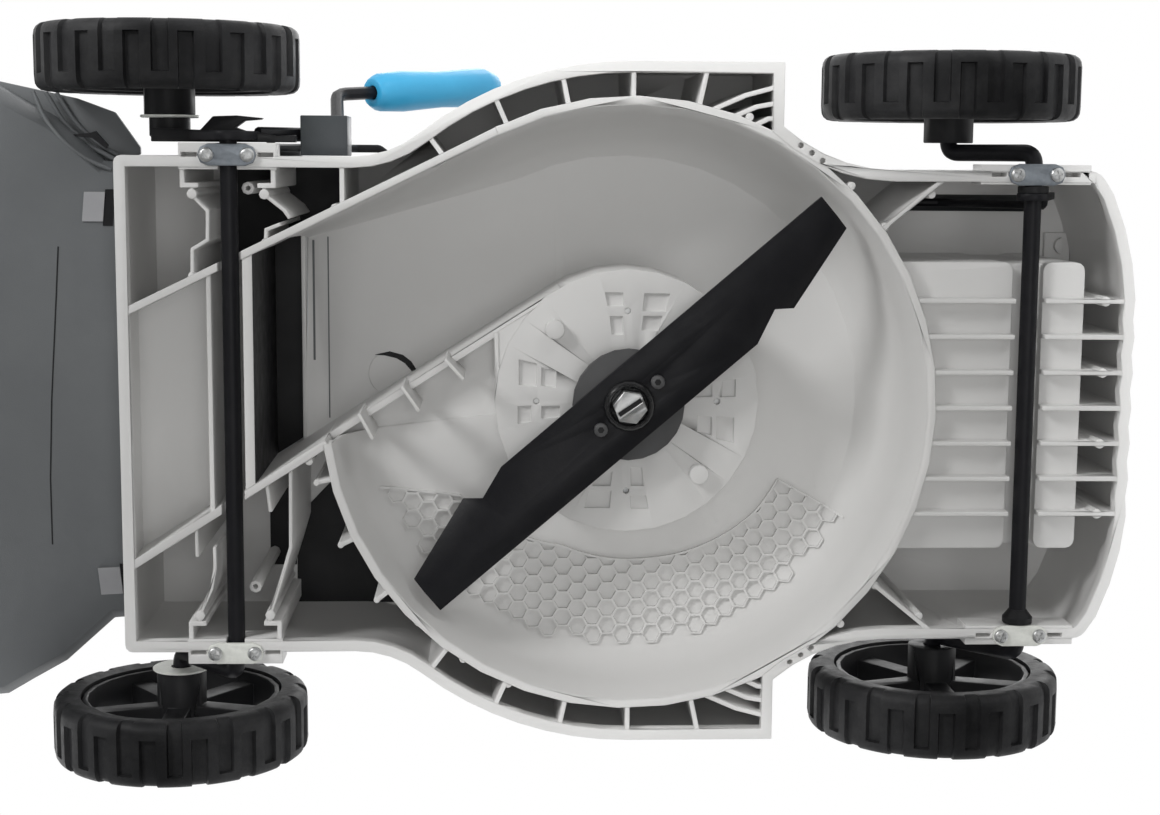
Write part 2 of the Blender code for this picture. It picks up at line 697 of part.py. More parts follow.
def chamber():
    pieces = []
    ring_path = arc((0, 0), RING_LINE, TONGUE_ANGLE, UPPER_ANGLE_END, RING_STEPS)
    pieces.append(wall("ring_rim", ring_path, RING_RIM, STAGGER / 2, 14 * MM))
    pieces.append(thick_sheet("volute", chamber_stations(), CHAMBER_WALL))
    pieces.append(collar())
    top = CEILING_HIGH + CHAMBER_WALL + 3 * MM
    well = [(BEARING_HOLE, MOTOR_PLATE), (WELL_RADIUS, MOTOR_PLATE), (WELL_RADIUS, top),
            (WELL_RADIUS - PLATE_WALL, top), (WELL_RADIUS - PLATE_WALL, MOTOR_PLATE + PLATE_WALL),
            (BEARING_HOLE, MOTOR_PLATE + PLATE_WALL)]
    pieces.append(turned("motor_well", well, 28, True))
    for angle in (45, 225):
        x, y = polar(PEG_PLACE, angle)
        pieces.append(rod("peg", (x, y, MOTOR_PLATE - 7 * MM), (x, y, MOTOR_PLATE + 1 * MM), PEG_RADIUS, 12))
    return pieces


def chute_walls():
    top = DECK_HEIGHT - TOP_WALL / 2 - STAGGER
    rear = DECK_REAR + SKIRT_WALL / 2
    pieces = [
        wall("upper_wall", [on_upper_wall(rear), tuple(UPPER_TOUCH + UPPER_RUN * 2 * MM)],
             CHUTE_WALL, STAGGER, top),
        wall("lower_wall", [on_guide_wall(rear), tuple(TONGUE)], RING_RIM, 2 * STAGGER, top - STAGGER),
        wall("guide_wall", [tuple(TONGUE - GUIDE_RUN * 3 * MM), tuple(GUIDE_TOUCH + GUIDE_RUN * 2 * MM)],
             CHUTE_WALL, MOTOR_PLATE + 3 * STAGGER, top),
    ]
    cross = CROSS_WALL_REAR + CROSS_WALL / 2
    seat = DUCT_FLOOR + DUCT_FLOOR_WALL / 2
    pieces.append(wall("cross_wall", [on_upper_wall(cross), on_guide_wall(cross)], CROSS_WALL,
                       3 * STAGGER, seat))
    pieces.append(wall("duct_rib", [on_upper_wall(DUCT_RIB), on_guide_wall(DUCT_RIB)], RIB, 1 * MM,
                       seat + STAGGER))
    floor = [on_upper_wall(rear + 1 * MM), on_guide_wall(rear + 1 * MM), on_guide_wall(cross - 1 * MM),
             on_upper_wall(cross - 1 * MM)]
    pieces.append(prism("duct_floor", floor, DUCT_FLOOR, DUCT_FLOOR + DUCT_FLOOR_WALL))
    pieces.append(wall("chute_step", [on_upper_wall(CHUTE_STEP), on_guide_wall(CHUTE_STEP)], RIB,
                       CEILING_HIGH - 1 * MM, top - 2 * STAGGER))
    return pieces


def tongue_pocket():
    # the ceiling behind the guide wall, and the motor plate's corner that meets it
    corner = on_guide_wall(PLATE_CORNER)
    pocket = [on_guide_wall(TONGUE.x + 1 * MM), on_guide_wall(GUIDE_TOUCH.x - 2 * MM)]
    pocket += arc((0, 0), WELL_RADIUS - PLATE_WALL / 2, GUIDE_ANGLE_END + 350, TONGUE_ANGLE - 2, 10)
    pocket += [polar(RING_LINE - 20 * MM, TONGUE_ANGLE - 2), polar(RING_LINE, TONGUE_ANGLE - 1)]
    side = polar(WELL_RADIUS - 1.3 * MM, 185)
    wedge = [corner, on_guide_wall(GUIDE_TOUCH.x - 4 * MM), polar(WELL_RADIUS - 8 * MM, 215), side]
    return [
        prism("tongue_pocket", pocket, CEILING_LOW + 0.7 * MM, CEILING_LOW + 3.6 * MM),
        prism("plate_corner", wedge, MOTOR_PLATE + 0.4 * MM, MOTOR_PLATE + PLATE_WALL - 0.3 * MM),
        wall("plate_edge", [corner, side], RIB, MOTOR_PLATE + 0.2 * MM, CEILING_LOW + 2 * MM),
    ]


def ribs():
    pieces = []
    top = DECK_HEIGHT - TOP_WALL / 2
    outer = WING_RADIUS - SKIRT_WALL / 2
    for side in (1, -1):
        for angle in WING_RIB_ANGLES:
            path = [polar(RING_LINE, side * angle), polar(outer, side * angle)]
            pieces.append(wall("wing_rib", path, RIB, 0.6 * MM, top))
        for start, end in WING_FINS:
            bend = [Vector(start), Vector(((start[0] + end[0]) / 2, (start[1] + end[1]) / 2 + 1.6 * MM)),
                    Vector(end)]
            path = [(p.x, side * p.y) for p in bend]
            pieces.append(wall("wing_fin", path, RIB, 0.8 * MM, top))
        path = [(x, side * y) for x, y in DIAGONAL_RIB]
        pieces.append(wall("diagonal_rib", path, RIB, 0.8 * MM, top))
    side_x = SIDE_RIB
    pieces.append(wall("side_rib", [(side_x, -REAR_HALF_WIDTH + SKIRT_WALL / 2), on_upper_wall(side_x)],
                       RIB, 0.8 * MM, top))
    for i in range(FRONT_RIBS):
        y = (i - (FRONT_RIBS - 1) / 2) * SCALLOP_PITCH
        ring_x = math.sqrt(RING_LINE ** 2 - y ** 2)
        (_, block_end), (block_start, _) = TRAY_BLOCKS
        pieces.append(wall("front_rib", [(ring_x, y), (block_end, y)], RIB, 0.8 * MM, TRAY_BLOCK_BOTTOM + 2 * MM))
        pieces.append(wall("front_rib", [(block_start, y), (DECK_FRONT - SKIRT_WALL, y)], RIB, 0.8 * MM,
                           TRAY_BLOCK_BOTTOM + 2 * MM))
        pieces.append(wall("bumper_rib", [(TRAY_BLOCKS[1][1] - 2 * MM, y), (DECK_FRONT - SKIRT_WALL, y)],
                           RIB, TRAY_BLOCK_BOTTOM, top))
    return pieces


def battery_tray():
    pieces = []
    top = DECK_HEIGHT - TOP_WALL / 2
    half = TRAY_HALF_WIDTH
    (_, block_end), (block_start, block_front) = TRAY_BLOCKS
    reach = RING_LINE
    edge = math.degrees(math.asin(half / reach))
    side = half - TRAY_CORNER
    rear_end = block_end - TRAY_CORNER
    rear_block = arc((0, 0), reach, edge, -edge, 10)
    rear_block += arc((rear_end, -side), TRAY_CORNER, -90, 0, 3) + arc((rear_end, side), TRAY_CORNER, 0, 90, 3)
    pieces.append(prism("rear_block", rear_block, TRAY_BLOCK_BOTTOM, top))
    front_block = []
    for x, y, start in ((block_front - TRAY_CORNER, side, 0), (block_start + TRAY_CORNER, side, 90),
                        (block_start + TRAY_CORNER, -side, 180), (block_front - TRAY_CORNER, -side, 270)):
        front_block += arc((x, y), TRAY_CORNER, start, start + 90, 3)
    pieces.append(prism("front_block", front_block, TRAY_BLOCK_BOTTOM, top))
    pieces.append(box("axle_bridge", (block_end - 6 * MM, -half + 1 * MM, TRAY_CHANNEL),
                      (block_start + 6 * MM, half - 1 * MM, top)))
    return pieces


def tray_hollows():
    wall_y = TRAY_HALF_WIDTH - TRAY_WALL
    (_, block_end), (block_start, block_front) = TRAY_BLOCKS
    above = DECK_HEIGHT + 2 * MM
    floor = TRAY_BLOCK_BOTTOM + TRAY_WALL
    return [
        box("rear_hollow", (TRAY_REAR, -wall_y, floor), (block_end - TRAY_WALL, wall_y, above)),
        box("front_hollow", (block_start + TRAY_WALL, -wall_y, floor), (block_front - TRAY_WALL, wall_y, above)),
        box("bridge_hollow", (block_end - TRAY_WALL - 1 * MM, -wall_y, TRAY_CHANNEL + TRAY_WALL),
            (block_start + TRAY_WALL + 1 * MM, wall_y, above)),
    ]


def axle_seats():
    # thick blocks under the clamp plates, standing proud of the sides
    pieces = []
    for side in (1, -1):
        for x, half_width, proud, length in ((REAR_AXLE, REAR_HALF_WIDTH, REAR_PROUD, 53 * MM),
                                             (FRONT_AXLE, FRONT_HALF_WIDTH, FRONT_PROUD, 62 * MM)):
            low = side * (half_width - SEAT_DEPTH)
            high = side * (half_width + proud)
            pieces.append(box("axle_seat", (x - length / 2, min(low, high), 0.3 * MM),
                              (x + length / 2, max(low, high), SEAT_HEIGHT)))
    return pieces


def web(name, points, width=WEB):
    # a thin wall through points given in millimetres, from just over the rim to the deck's top
    return wall(name, [(x * MM, y * MM) for x, y in points], width, 1.3 * MM, DECK_HEIGHT - TOP_WALL / 2)


def post(name, x, y, radius):
    return rod(name, (x, y, 0.9 * MM), (x, y, DECK_HEIGHT - TOP_WALL / 2 - STAGGER), radius, 8)


def seat_webs():
    # hooked walls behind the rear seats, with posts and webs that stiffen the deck beside the axle
    pieces = []
    inside = REAR_HALF_WIDTH - SEAT_DEPTH + 1 * MM
    for side in (1, -1):
        for end in (1, -1):
            out, inner = REAR_AXLE + end * HOOK_OUT, REAR_AXLE + end * HOOK_IN
            path = [(out, side * inside), (out, side * HOOK_DEPTH), (inner, side * HOOK_DEPTH)]
            pieces.append(wall("hook", path, RIB, 0.6 * MM, DECK_HEIGHT - TOP_WALL / 2))
            post_x, post_y = REAR_AXLE + end * POST_PLACE[0], side * POST_PLACE[1]
            pieces.append(post("post", post_x, post_y, POST_RADIUS))
            pieces.append(web("neck", [(post_x / MM, post_y / MM), (post_x / MM, side * HOOK_DEPTH / MM)]))
    return pieces


def rear_webs():
    pieces = [web("web", points) for points in RIGHT_WEBS + LEFT_WEBS]
    for x, y in SCREW_TUBES:
        pieces.append(rod("screw_tube", (x, y, TUBE_START), (x, y, DECK_HEIGHT - TOP_WALL / 2), TUBE_RADIUS, 8))
    return pieces


def ring_details():
    # short ribs that end in posts, and small bumps along the ring and the ribs
    pieces = []
    for tip in RING_STUBS:
        reach = math.hypot(*tip)
        root = [value * RING_LINE / MM / reach for value in tip]
        pieces.append(web("stub", [root, tip], RIB))
        pieces.append(post("stub_end", tip[0] * MM, tip[1] * MM, 0.7 * RIB))
    for x, y in RING_BUMPS + RIB_BUMPS:
        pieces.append(post("bump", x * MM, y * MM, BUMP_RADIUS))
    for i in range(0, FRONT_RIBS, 2):
        y = (i - (FRONT_RIBS - 1) / 2) * SCALLOP_PITCH
        pieces.append(post("bumper_post", BUMPER_POST, y, POST_RADIUS))
    return pieces


def detail_cuts():
    # slots beside the clamps, drain holes, screw bores and the hollows in the motor plate
    pieces = []
    start, end, width = SEAT_SLOT
    for axle, place in ((REAR_AXLE, REAR_CLAMP), (FRONT_AXLE, FRONT_CLAMP)):
        for side in (1, -1):
            for turn in (1, -1):
                near, far = sorted((axle + turn * start, axle + turn * end))
                pieces.append(box("seat_slot", (near, side * place - width / 2, -1 * MM),
                                  (far, side * place + width / 2, 14 * MM)))
    for x, y in DRAIN_HOLES:
        for side in (1, -1):
            pieces.append(rod("drain", (x * MM, side * y * MM, -1 * MM), (x * MM, side * y * MM, 8 * MM),
                              DRAIN_RADIUS, 6))
    for x, y in SCREW_TUBES:
        pieces.append(rod("tube_bore", (x, y, 0), (x, y, TUBE_START + 15 * MM), TUBE_BORE, 6))
    low, high = MOTOR_PLATE - 1 * MM, MOTOR_PLATE + PLATE_RECESS
    for turn in range(4):
        out = Vector(polar(1, 90 * turn))
        across = Vector((-out.y, out.x))
        for near, far, left, right in PLATE_POCKETS:
            corners = [out * near + across * left, out * far + across * left * 1.12,
                       out * far + across * right, out * near + across * right * 0.9]
            pieces.append(prism("pocket", [tuple(corner * MM) for corner in corners], low, high))
        x, y = out * PLATE_SCREW
        pieces.append(rod("plate_screw", (x, y, low), (x, y, MOTOR_PLATE + PLATE_WALL + 1 * MM), PLATE_SCREW_BORE, 6))
    return pieces


def axle_grooves():
    pieces = []
    height = AXLE_HEIGHT - RIM_HEIGHT
    radius = AXLE_RADIUS + GAP
    for x in (REAR_AXLE, FRONT_AXLE):
        for side in (1, -1):
            low = side * GROOVE_ENDS[0]
            high = side * GROOVE_ENDS[1]
            pieces.append(rod("axle_bore", (x, low, height), (x, high, height), radius, 12))
            pieces.append(box("axle_slot", (x - radius, min(low, high), -5 * MM),
                              (x + radius, max(low, high), height)))
    pieces.append(box("axle_gap", (REAR_AXLE - AXLE_RADIUS - 1.6 * MM, -110 * MM, -5 * MM),
                      (REAR_AXLE + AXLE_RADIUS + 1.6 * MM, 110 * MM, height + AXLE_RADIUS + 2 * MM)))
    return pieces


def top_openings():
    # the round hole over the chamber and the chute, under the top cover
    below = DECK_HEIGHT - TOP_WALL - 1 * MM
    above = DECK_HEIGHT + 2 * MM
    inner = COLLAR_RADIUS - 0.8 * MM
    chute = [tuple(UPPER_TOUCH * ((RING_LINE - 3 * MM) / RING_LINE)), on_upper_wall(CHUTE_STEP + 8 * MM)]
    chute = [(x, y + 3.4 * MM) for x, y in chute]
    chute += [(CHUTE_STEP + 8 * MM, on_guide_wall(CHUTE_STEP + 8 * MM)[1] - 4 * MM),
              (GUIDE_TOUCH.x - 4 * MM, GUIDE_TOUCH.y)]
    return [rod("round_opening", (0, 0, below), (0, 0, above), inner, 32),
            prism("chute_opening", chute, below, above)]


def duct_mouth():
    rear = DECK_REAR + SKIRT_WALL
    right = on_upper_wall(rear)[1] + CHUTE_WALL
    left = on_guide_wall(rear)[1] - CHUTE_WALL
    return box("duct_mouth", (DECK_REAR - 5 * MM, right, DUCT_FLOOR + DUCT_FLOOR_WALL + 1.5 * MM),
               (rear + 1 * MM, left, DUCT_TOP))


def flap_lugs():
    # ears on the deck's rear edge that carry the flap's pin
    pieces = []
    x, z = FLAP_PIN
    z -= RIM_HEIGHT
    for side in (1, -1):
        near, far = sorted((side * (FLAP_HALF + GAP), side * (FLAP_HALF + FLAP_LUG)))
        pieces.append(upright("lug", hull([(x, z, 6 * MM), (x - 4 * MM, DECK_HEIGHT - 1.5 * MM, 1 * MM),
                                           (x + 10 * MM, DECK_HEIGHT - 1.5 * MM, 1 * MM)], 8), near, far))
    return pieces


def small_holes():
    # the pin's bores, the link rod's slot in the deck's top and the clamp screws' pilot holes
    x, z = FLAP_PIN
    pieces = [rod("pin_bore", (x, -1, z - RIM_HEIGHT), (x, 1, z - RIM_HEIGHT), PIN_RADIUS + GAP, 12)]
    inner = FRONT_LINK_PLACE - LINK_ARM - LINK_BEND - 0.5 * MM
    pieces.append(box("link_slot", (LINK_SLOT[0], -inner - LINK_ROD - 2.5 * MM, DECK_HEIGHT - TOP_WALL - 1 * MM),
                      (LINK_SLOT[1], -inner + LINK_ROD + 2.5 * MM, DECK_HEIGHT + 1 * MM)))
    for axle, place in ((REAR_AXLE, REAR_CLAMP), (FRONT_AXLE, FRONT_CLAMP)):
        for side in (1, -1):
            for x in (axle - CLAMP_SCREWS / 2, axle + CLAMP_SCREWS / 2):
                pieces.append(rod("pilot", (x, side * place, -1 * MM), (x, side * place, 12 * MM),
                                  CLAMP_SCREW + GAP, 6))
    return pieces


def deck_shell(mat):
    stack = [ring(deck_outline(), 0), ring(deck_outline(), DECK_HEIGHT - TOP_ROUNDING),
             ring(deck_outline(0.28 * TOP_ROUNDING), DECK_HEIGHT - 0.28 * TOP_ROUNDING),
             ring(deck_outline(TOP_ROUNDING), DECK_HEIGHT)]
    shell = loft("deck_shell", stack)
    inside = [prism("rim_hollow", deck_outline(RIM_WIDTH), -2 * MM, RIM_DEPTH),
              prism("skirt_hollow", deck_outline(SKIRT_WALL), RIM_DEPTH - 0.5 * MM, DECK_HEIGHT - TOP_WALL)]
    shell = cut(shell, *inside)
    shell = cut(shell, *top_openings())
    shell = join(shell, *axle_seats(), *battery_tray())
    shell = join(shell, *ribs())
    shell = join(shell, *chute_walls())
    shell = join(shell, *tongue_pocket())
    shell = join(shell, *chamber())
    shell = join(shell, *seat_webs(), *rear_webs())
    shell = join(shell, *ring_details())
    shell = join(shell, *flap_lugs())
    shell = cut(shell, duct_mouth(), *tray_hollows(), *axle_grooves())
    shell = cut(shell, *small_holes(), *detail_cuts())
    shell.location = (0, 0, RIM_HEIGHT)
    return keep(shell, mat)


# Shapes that the running gear and the bodywork share

def hull(circles, steps=7):
    # the convex outline round circles given as (x, z, radius)
    cloud = []
    for x, z, radius in circles:
        cloud += arc((x, z), radius, 0, 360 - 360 / (2 * steps), 2 * steps - 1)
    cloud = sorted(set(cloud))
    outline = []
    for points in (cloud, cloud[::-1]):
        chain = []
        for point in points:
            while len(chain) > 1 and cross(chain[-2], chain[-1], point) <= 0:
                chain.pop()
            chain.append(point)
        outline += chain[:-1]
    return outline


def cross(a, b, c):
    return (b[0] - a[0]) * (c[1] - a[1]) - (b[1] - a[1]) * (c[0] - a[0])


def upright(name, outline, near, far):
    # an outline in X and Z raised along Y
    piece = prism(name, outline, min(near, far), max(near, far))
    piece.data.transform(Matrix(((1, 0, 0, 0), (0, 0, 1, 0), (0, 1, 0, 0), (0, 0, 0, 1))))
    piece.data.flip_normals()
    return piece


def bevelled(piece, width, segments=2, angle=35):
    bevel = piece.modifiers.new("Edges", "BEVEL")
    bevel.width = width
    bevel.segments = segments
    bevel.limit_method = "ANGLE"
    bevel.angle_limit = math.radians(angle)
    return settle(piece)


def aimed(piece, start, along):
    # turns a piece made along Z so that it starts at a point and runs along a direction
    turn = Vector(along).to_track_quat("Z", "Y").to_matrix().to_4x4()
    piece.data.transform(Matrix.Translation(start) @ turn)
    return piece


def arch(x, half_width, low, height, exponent, points):
    # an open superellipse arch across the mower
    ring_points = []
    for i in range(points + 1):
        angle = math.pi * i / points
        y = half_width * math.copysign(abs(math.cos(angle)) ** (2 / exponent), math.cos(angle))
        ring_points.append((x, y, low + height * math.sin(angle) ** (2 / exponent)))
    return ring_points


def moulded(name, rings, wall_thickness, closed, caps):
    # a thin moulding through a row of rings, with the wall on its inner side
    bm = bmesh.new()
    rows = [[bm.verts.new(point) for point in ring_points] for ring_points in rings]
    count = len(rows[0])
    for near, far in zip(rows, rows[1:]):
        for i in range(count if closed else count - 1):
            j = (i + 1) % count
            bm.faces.new((near[i], near[j], far[j], far[i]))
    for end in caps:
        bm.faces.new(rows[end])
    bmesh.ops.recalc_face_normals(bm, faces=bm.faces)
    bm.normal_update()
    top = max(bm.faces, key=lambda face: face.calc_center_median().z)
    if top.normal.z < 0:
        bmesh.ops.reverse_faces(bm, faces=bm.faces)
    piece = add(name, finish_mesh(bm, name), "cutters")
    solidify = piece.modifiers.new("Wall", "SOLIDIFY")
    solidify.thickness = wall_thickness
    solidify.offset = -1
    solidify.use_even_offset = True
    return settle(piece)


# Cutting head

def at_blade(along, across):
    # a place on the blade, measured along it and across it
    turn = math.radians(BLADE_TURN)
    return (along * math.cos(turn) - across * math.sin(turn), along * math.sin(turn) + across * math.cos(turn))


def blade(mat, parent):
    # a flat bar whose trailing corners are cut back and bent up into sails
    bm = bmesh.new()
    corners = ((BLADE_REACH, -BLADE_HALF), (BLADE_REACH, SAIL_CREASE), (SAIL_ROOT, SAIL_CREASE),
               (BLADE_NOTCH, BLADE_HALF))
    flat = [(side * u, side * n) for side in (1, -1) for u, n in corners]
    verts = [bm.verts.new((*at_blade(u, n), BLADE_LOW)) for u, n in flat]
    bm.faces.new(verts)
    for side, first in ((1, 0), (-1, 4)):
        raised = []
        for u, n in ((BLADE_REACH, SAIL_TIP), (SAIL_START, SAIL_HALF), (SAIL_END, SAIL_NOTCH)):
            lift = (n - SAIL_CREASE) * SAIL_SLOPE
            raised.append(bm.verts.new((*at_blade(side * u, side * n), BLADE_LOW + lift)))
        tip, crease, root, notch = verts[first:first + 4]
        bm.faces.new((crease, *raised, root))
        bm.faces.new((root, raised[2], notch))
    piece = thickened("blade", bm, BLADE_THICKNESS)
    holes = [rod("bore", (0, 0, 0), (0, 0, 1), SPINDLE_RADIUS + GAP, 20)]
    for side in (1, -1):
        x, y = at_blade(side * CARRIER_SCREWS, 0)
        holes.append(rod("bore", (x, y, 0), (x, y, 1), SCREW_RADIUS + GAP, 10))
    return keep(cut(piece, *holes), mat, parent)


def cutting_head(mats):
    unit = pivot("blade_axis", (0, 0, BLADE_LOW))
    blade(mats["black_steel"], unit)
    keep(rod("spindle_shaft", (0, 0, SPINDLE_END), (0, 0, SPINDLE_TOP), SPINDLE_RADIUS, 20), mats["steel"], unit)
    seat = BLADE_LOW + BLADE_THICKNESS + GAP
    low = SPINDLE_RADIUS + GAP
    profile = [(low, seat), (CARRIER_RADIUS, seat), (CARRIER_RADIUS, seat + 3 * MM),
               (CARRIER_RADIUS - 4 * MM, seat + 7 * MM), (CARRIER_RADIUS / 2, seat + CARRIER_HEIGHT),
               (low, seat + CARRIER_HEIGHT)]
    carrier = turned("blade_carrier", profile, 24, True)
    pilots = []
    for side in (1, -1):
        x, y = at_blade(side * CARRIER_SCREWS, 0)
        pilots.append(rod("bore", (x, y, seat - 1 * MM), (x, y, seat + 6.4 * MM), SCREW_RADIUS + GAP, 10))
    keep(cut(carrier, *pilots), mats["black_plastic"], unit)
    washer_top = BLADE_LOW - GAP
    washer_low = washer_top - WASHER_THICKNESS
    lip = washer_low - WASHER_LIP
    recess = NUT_FLATS / 2 / math.cos(math.pi / 6) + 0.8 * MM
    washer = [(low, washer_low), (recess, washer_low), (recess + 0.6 * MM, lip + 0.4 * MM), (recess + 1.6 * MM, lip),
              (WASHER_RADIUS - 0.8 * MM, lip + 1.2 * MM), (WASHER_RADIUS, washer_low), (WASHER_RADIUS, washer_top),
              (low, washer_top)]
    keep(turned("blade_washer", washer, 18, True), mats["black_plastic"], unit)
    corner = NUT_FLATS / 2 / math.cos(math.pi / 6)
    nut_top = washer_low - GAP
    nut = prism("blade_nut", arc((0, 0), corner, 8, 308, 5), nut_top - NUT_HEIGHT, nut_top)
    nut_low = nut_top - NUT_HEIGHT
    length, width, depth = NUT_SLOT
    slot = box("slot", (-length / 2, -width / 2, nut_low - 1 * MM), (length / 2, width / 2, nut_low + depth))
    slot.data.transform(Matrix.Rotation(math.radians(NUT_SLOT_TURN), 4, "Z"))
    nut = cut(nut, rod("bore", (0, 0, nut_low + NUT_CAP), (0, 0, 1), low, 16), slot)
    keep(nut, mats["zinc"], unit)
    for side, name in ((1, "front"), (-1, "rear")):
        x, y = at_blade(side * CARRIER_SCREWS, 0)
        head = rod("carrier_screw_" + name, (x, y, washer_top - 2.4 * MM), (x, y, washer_top), SCREW_HEAD, 12)
        shank = rod("shank", (x, y, washer_top - 1 * MM), (x, y, seat + 6 * MM), SCREW_RADIUS, 8)
        keep(join(head, shank), mats["black_steel"], unit)


def motor(mats):
    low = RIM_HEIGHT + MOTOR_PLATE + PLATE_WALL + GAP
    bore = SPINDLE_RADIUS + RUNNING
    profile = [(bore, low), (MOTOR_RADIUS - 3 * MM, low), (MOTOR_RADIUS, low + 3 * MM),
               (MOTOR_RADIUS, MOTOR_TOP - 9 * MM), (MOTOR_RADIUS - 8 * MM, MOTOR_TOP), (bore, MOTOR_TOP)]
    keep(turned("motor", profile, 24, True), mats["zinc"])
    x, y = CONTROLLER_SIZE[0] / 2, CONTROLLER_SIZE[1] / 2
    box_low = MOTOR_TOP + GAP
    body = box("motor_controller", (-x, -y, box_low), (x, y, box_low + CONTROLLER_SIZE[2]))
    keep(bevelled(body, 3 * MM, 1), mats["black_plastic"])


# Running gear

def tyre_mesh():
    bm = bmesh.new()
    rows = []
    steps = 3 * TREAD_BLOCKS
    block = WHEEL_RADIUS / math.cos(math.pi / steps)
    inner = WHEEL_RADIUS - TYRE_DEPTH
    for i in range(steps):
        angle = 2 * math.pi * i / steps + math.pi / TREAD_BLOCKS
        tread = block - (TREAD_DEPTH if i % 3 == 0 else 0)
        side = WHEEL_RADIUS - TYRE_SHOULDER
        profile = ((inner, 0), (side, 0), (tread, TYRE_SHOULDER), (tread, WHEEL_WIDTH - TYRE_SHOULDER),
                   (side, WHEEL_WIDTH), (inner, WHEEL_WIDTH))
        rows.append([bm.verts.new((r * math.cos(angle), r * math.sin(angle), z)) for r, z in profile])
    for near, far in zip(rows, rows[1:] + rows[:1]):
        for j in range(6):
            k = (j + 1) % 6
            bm.faces.new((near[j], near[k], far[k], far[j]))
    bmesh.ops.recalc_face_normals(bm, faces=bm.faces)
    return finish_mesh(bm, "tyre")


def rim_mesh():
    outer = WHEEL_RADIUS - TYRE_DEPTH - GAP
    barrel = [(outer - RIM_WALL, 2 * MM), (outer, 2 * MM), (outer, WHEEL_WIDTH - 2 * MM),
              (outer - RIM_WALL, WHEEL_WIDTH - 2 * MM)]
    body = turned("wheel_rim", barrel, 24, True)
    bore = AXLE_RADIUS + GAP
    hub = [(bore, -HUB_REACH), (HUB_RADIUS, -HUB_REACH), (HUB_RADIUS, HUB_OUTER), (bore, HUB_OUTER)]
    pieces = [turned("hub", hub, 12, True)]
    for i in range(SPOKES):
        angle = 360 * i / SPOKES + 90
        path = [polar(bore + 3 * MM, angle), polar(outer - RIM_WALL / 2, angle)]
        pieces.append(wall("spoke", path, SPOKE_WIDTH, 8 * MM, 22 * MM))
    solid = join(body, *pieces)
    mesh = solid.data
    bpy.data.objects.remove(solid)
    return mesh


def cap_mesh():
    recess = HUB_OUTER + GAP + STUB_PROUD + 0.5 * MM
    low = HUB_OUTER + GAP
    bore = AXLE_RADIUS + GAP
    profile = [(0, recess), (bore, recess), (bore, low), (HUB_RADIUS + 1.5 * MM, low),
               (HUB_RADIUS + 1.5 * MM, recess - 1 * MM), (HUB_RADIUS - 3 * MM, recess + 3 * MM),
               (0, recess + 3 * MM)]
    solid = turned("cap", profile, 10)
    mesh = solid.data
    bpy.data.objects.remove(solid)
    return mesh


def wheel_sets(mats, parents):
    meshes = (("tyre", tyre_mesh(), "rubber"), ("wheel_rim", rim_mesh(), "black_plastic"),
              ("wheel_cap", cap_mesh(), "grey_plastic"))
    for name, axle, side, inner in WHEEL_PLACES:
        hub = pivot("wheel_axis_" + name, (axle - CRANK_BACK, side * inner, WHEEL_RADIUS), parents[axle])
        turn = Matrix.Rotation(math.radians(-90 * side), 4, "X")
        for kind, mesh, finish in meshes:
            piece = add(kind + "_" + name, mesh.copy())
            piece.matrix_world = Matrix.Translation((axle - CRANK_BACK, side * inner, WHEEL_RADIUS)) @ turn
            keep(piece, mats[finish], hub)


def stub_end(inner):
    return inner + HUB_OUTER + GAP + STUB_PROUD


def link_pin(axle):
    turn = math.radians(LINK_ANGLE)
    return axle + LINK_RADIUS * math.cos(turn), AXLE_HEIGHT + LINK_RADIUS * math.sin(turn)


def axles(mats):
    units = {}
    rear = pivot("rear_axle_axis", (REAR_AXLE, 0, AXLE_HEIGHT))
    front = pivot("front_axle_axis", (FRONT_AXLE, 0, AXLE_HEIGHT))
    wheel_x = REAR_AXLE - CRANK_BACK
    path = rounded_path([(REAR_AXLE, -LEVER_PLATE_OUT, AXLE_HEIGHT), (REAR_AXLE, REAR_ARM_PLACE, AXLE_HEIGHT),
                         (wheel_x, REAR_ARM_PLACE, WHEEL_RADIUS),
                         (wheel_x, stub_end(REAR_WHEEL_INNER), WHEEL_RADIUS)], AXLE_BEND, 3)
    keep(tube("rear_axle", path, AXLE_RADIUS, 3), mats["black_steel"], rear)
    wheel_x = FRONT_AXLE - CRANK_BACK
    half = [(FRONT_AXLE, FRONT_ARM_PLACE, AXLE_HEIGHT), (wheel_x, FRONT_ARM_PLACE, WHEEL_RADIUS),
            (wheel_x, stub_end(FRONT_WHEEL_INNER), WHEEL_RADIUS)]
    path = rounded_path([(x, -y, z) for x, y, z in half[::-1]] + half, AXLE_BEND, 3)
    face = FRONT_CLAMP - CLAMP_WIDTH / 2 - GAP
    collars = [rod("collar", (FRONT_AXLE, side * face, AXLE_HEIGHT),
                   (FRONT_AXLE, side * (face - AXLE_COLLAR[1]), AXLE_HEIGHT),
                   AXLE_COLLAR[0], 14, end_radius=AXLE_RADIUS) for side in (1, -1)]
    keep(join(tube("front_axle", path, AXLE_RADIUS, 2), *collars), mats["black_steel"], front)
    height_lever(mats, rear)
    pin_x, pin_z = link_pin(FRONT_AXLE)
    arm = upright("front_link_arm", hull([(FRONT_AXLE, AXLE_HEIGHT, 9 * MM), (pin_x, pin_z, 6 * MM)]),
                  -FRONT_LINK_PLACE, -FRONT_LINK_PLACE + LINK_ARM)
    holes = [rod("bore", (FRONT_AXLE, -1, AXLE_HEIGHT), (FRONT_AXLE, 1, AXLE_HEIGHT), AXLE_RADIUS + GAP, 12),
             rod("bore", (pin_x, -1, pin_z), (pin_x, 1, pin_z), LINK_ROD + GAP, 8)]
    keep(cut(arm, *holes), mats["black_steel"], front)
    units[REAR_AXLE] = rear
    units[FRONT_AXLE] = front
    return units


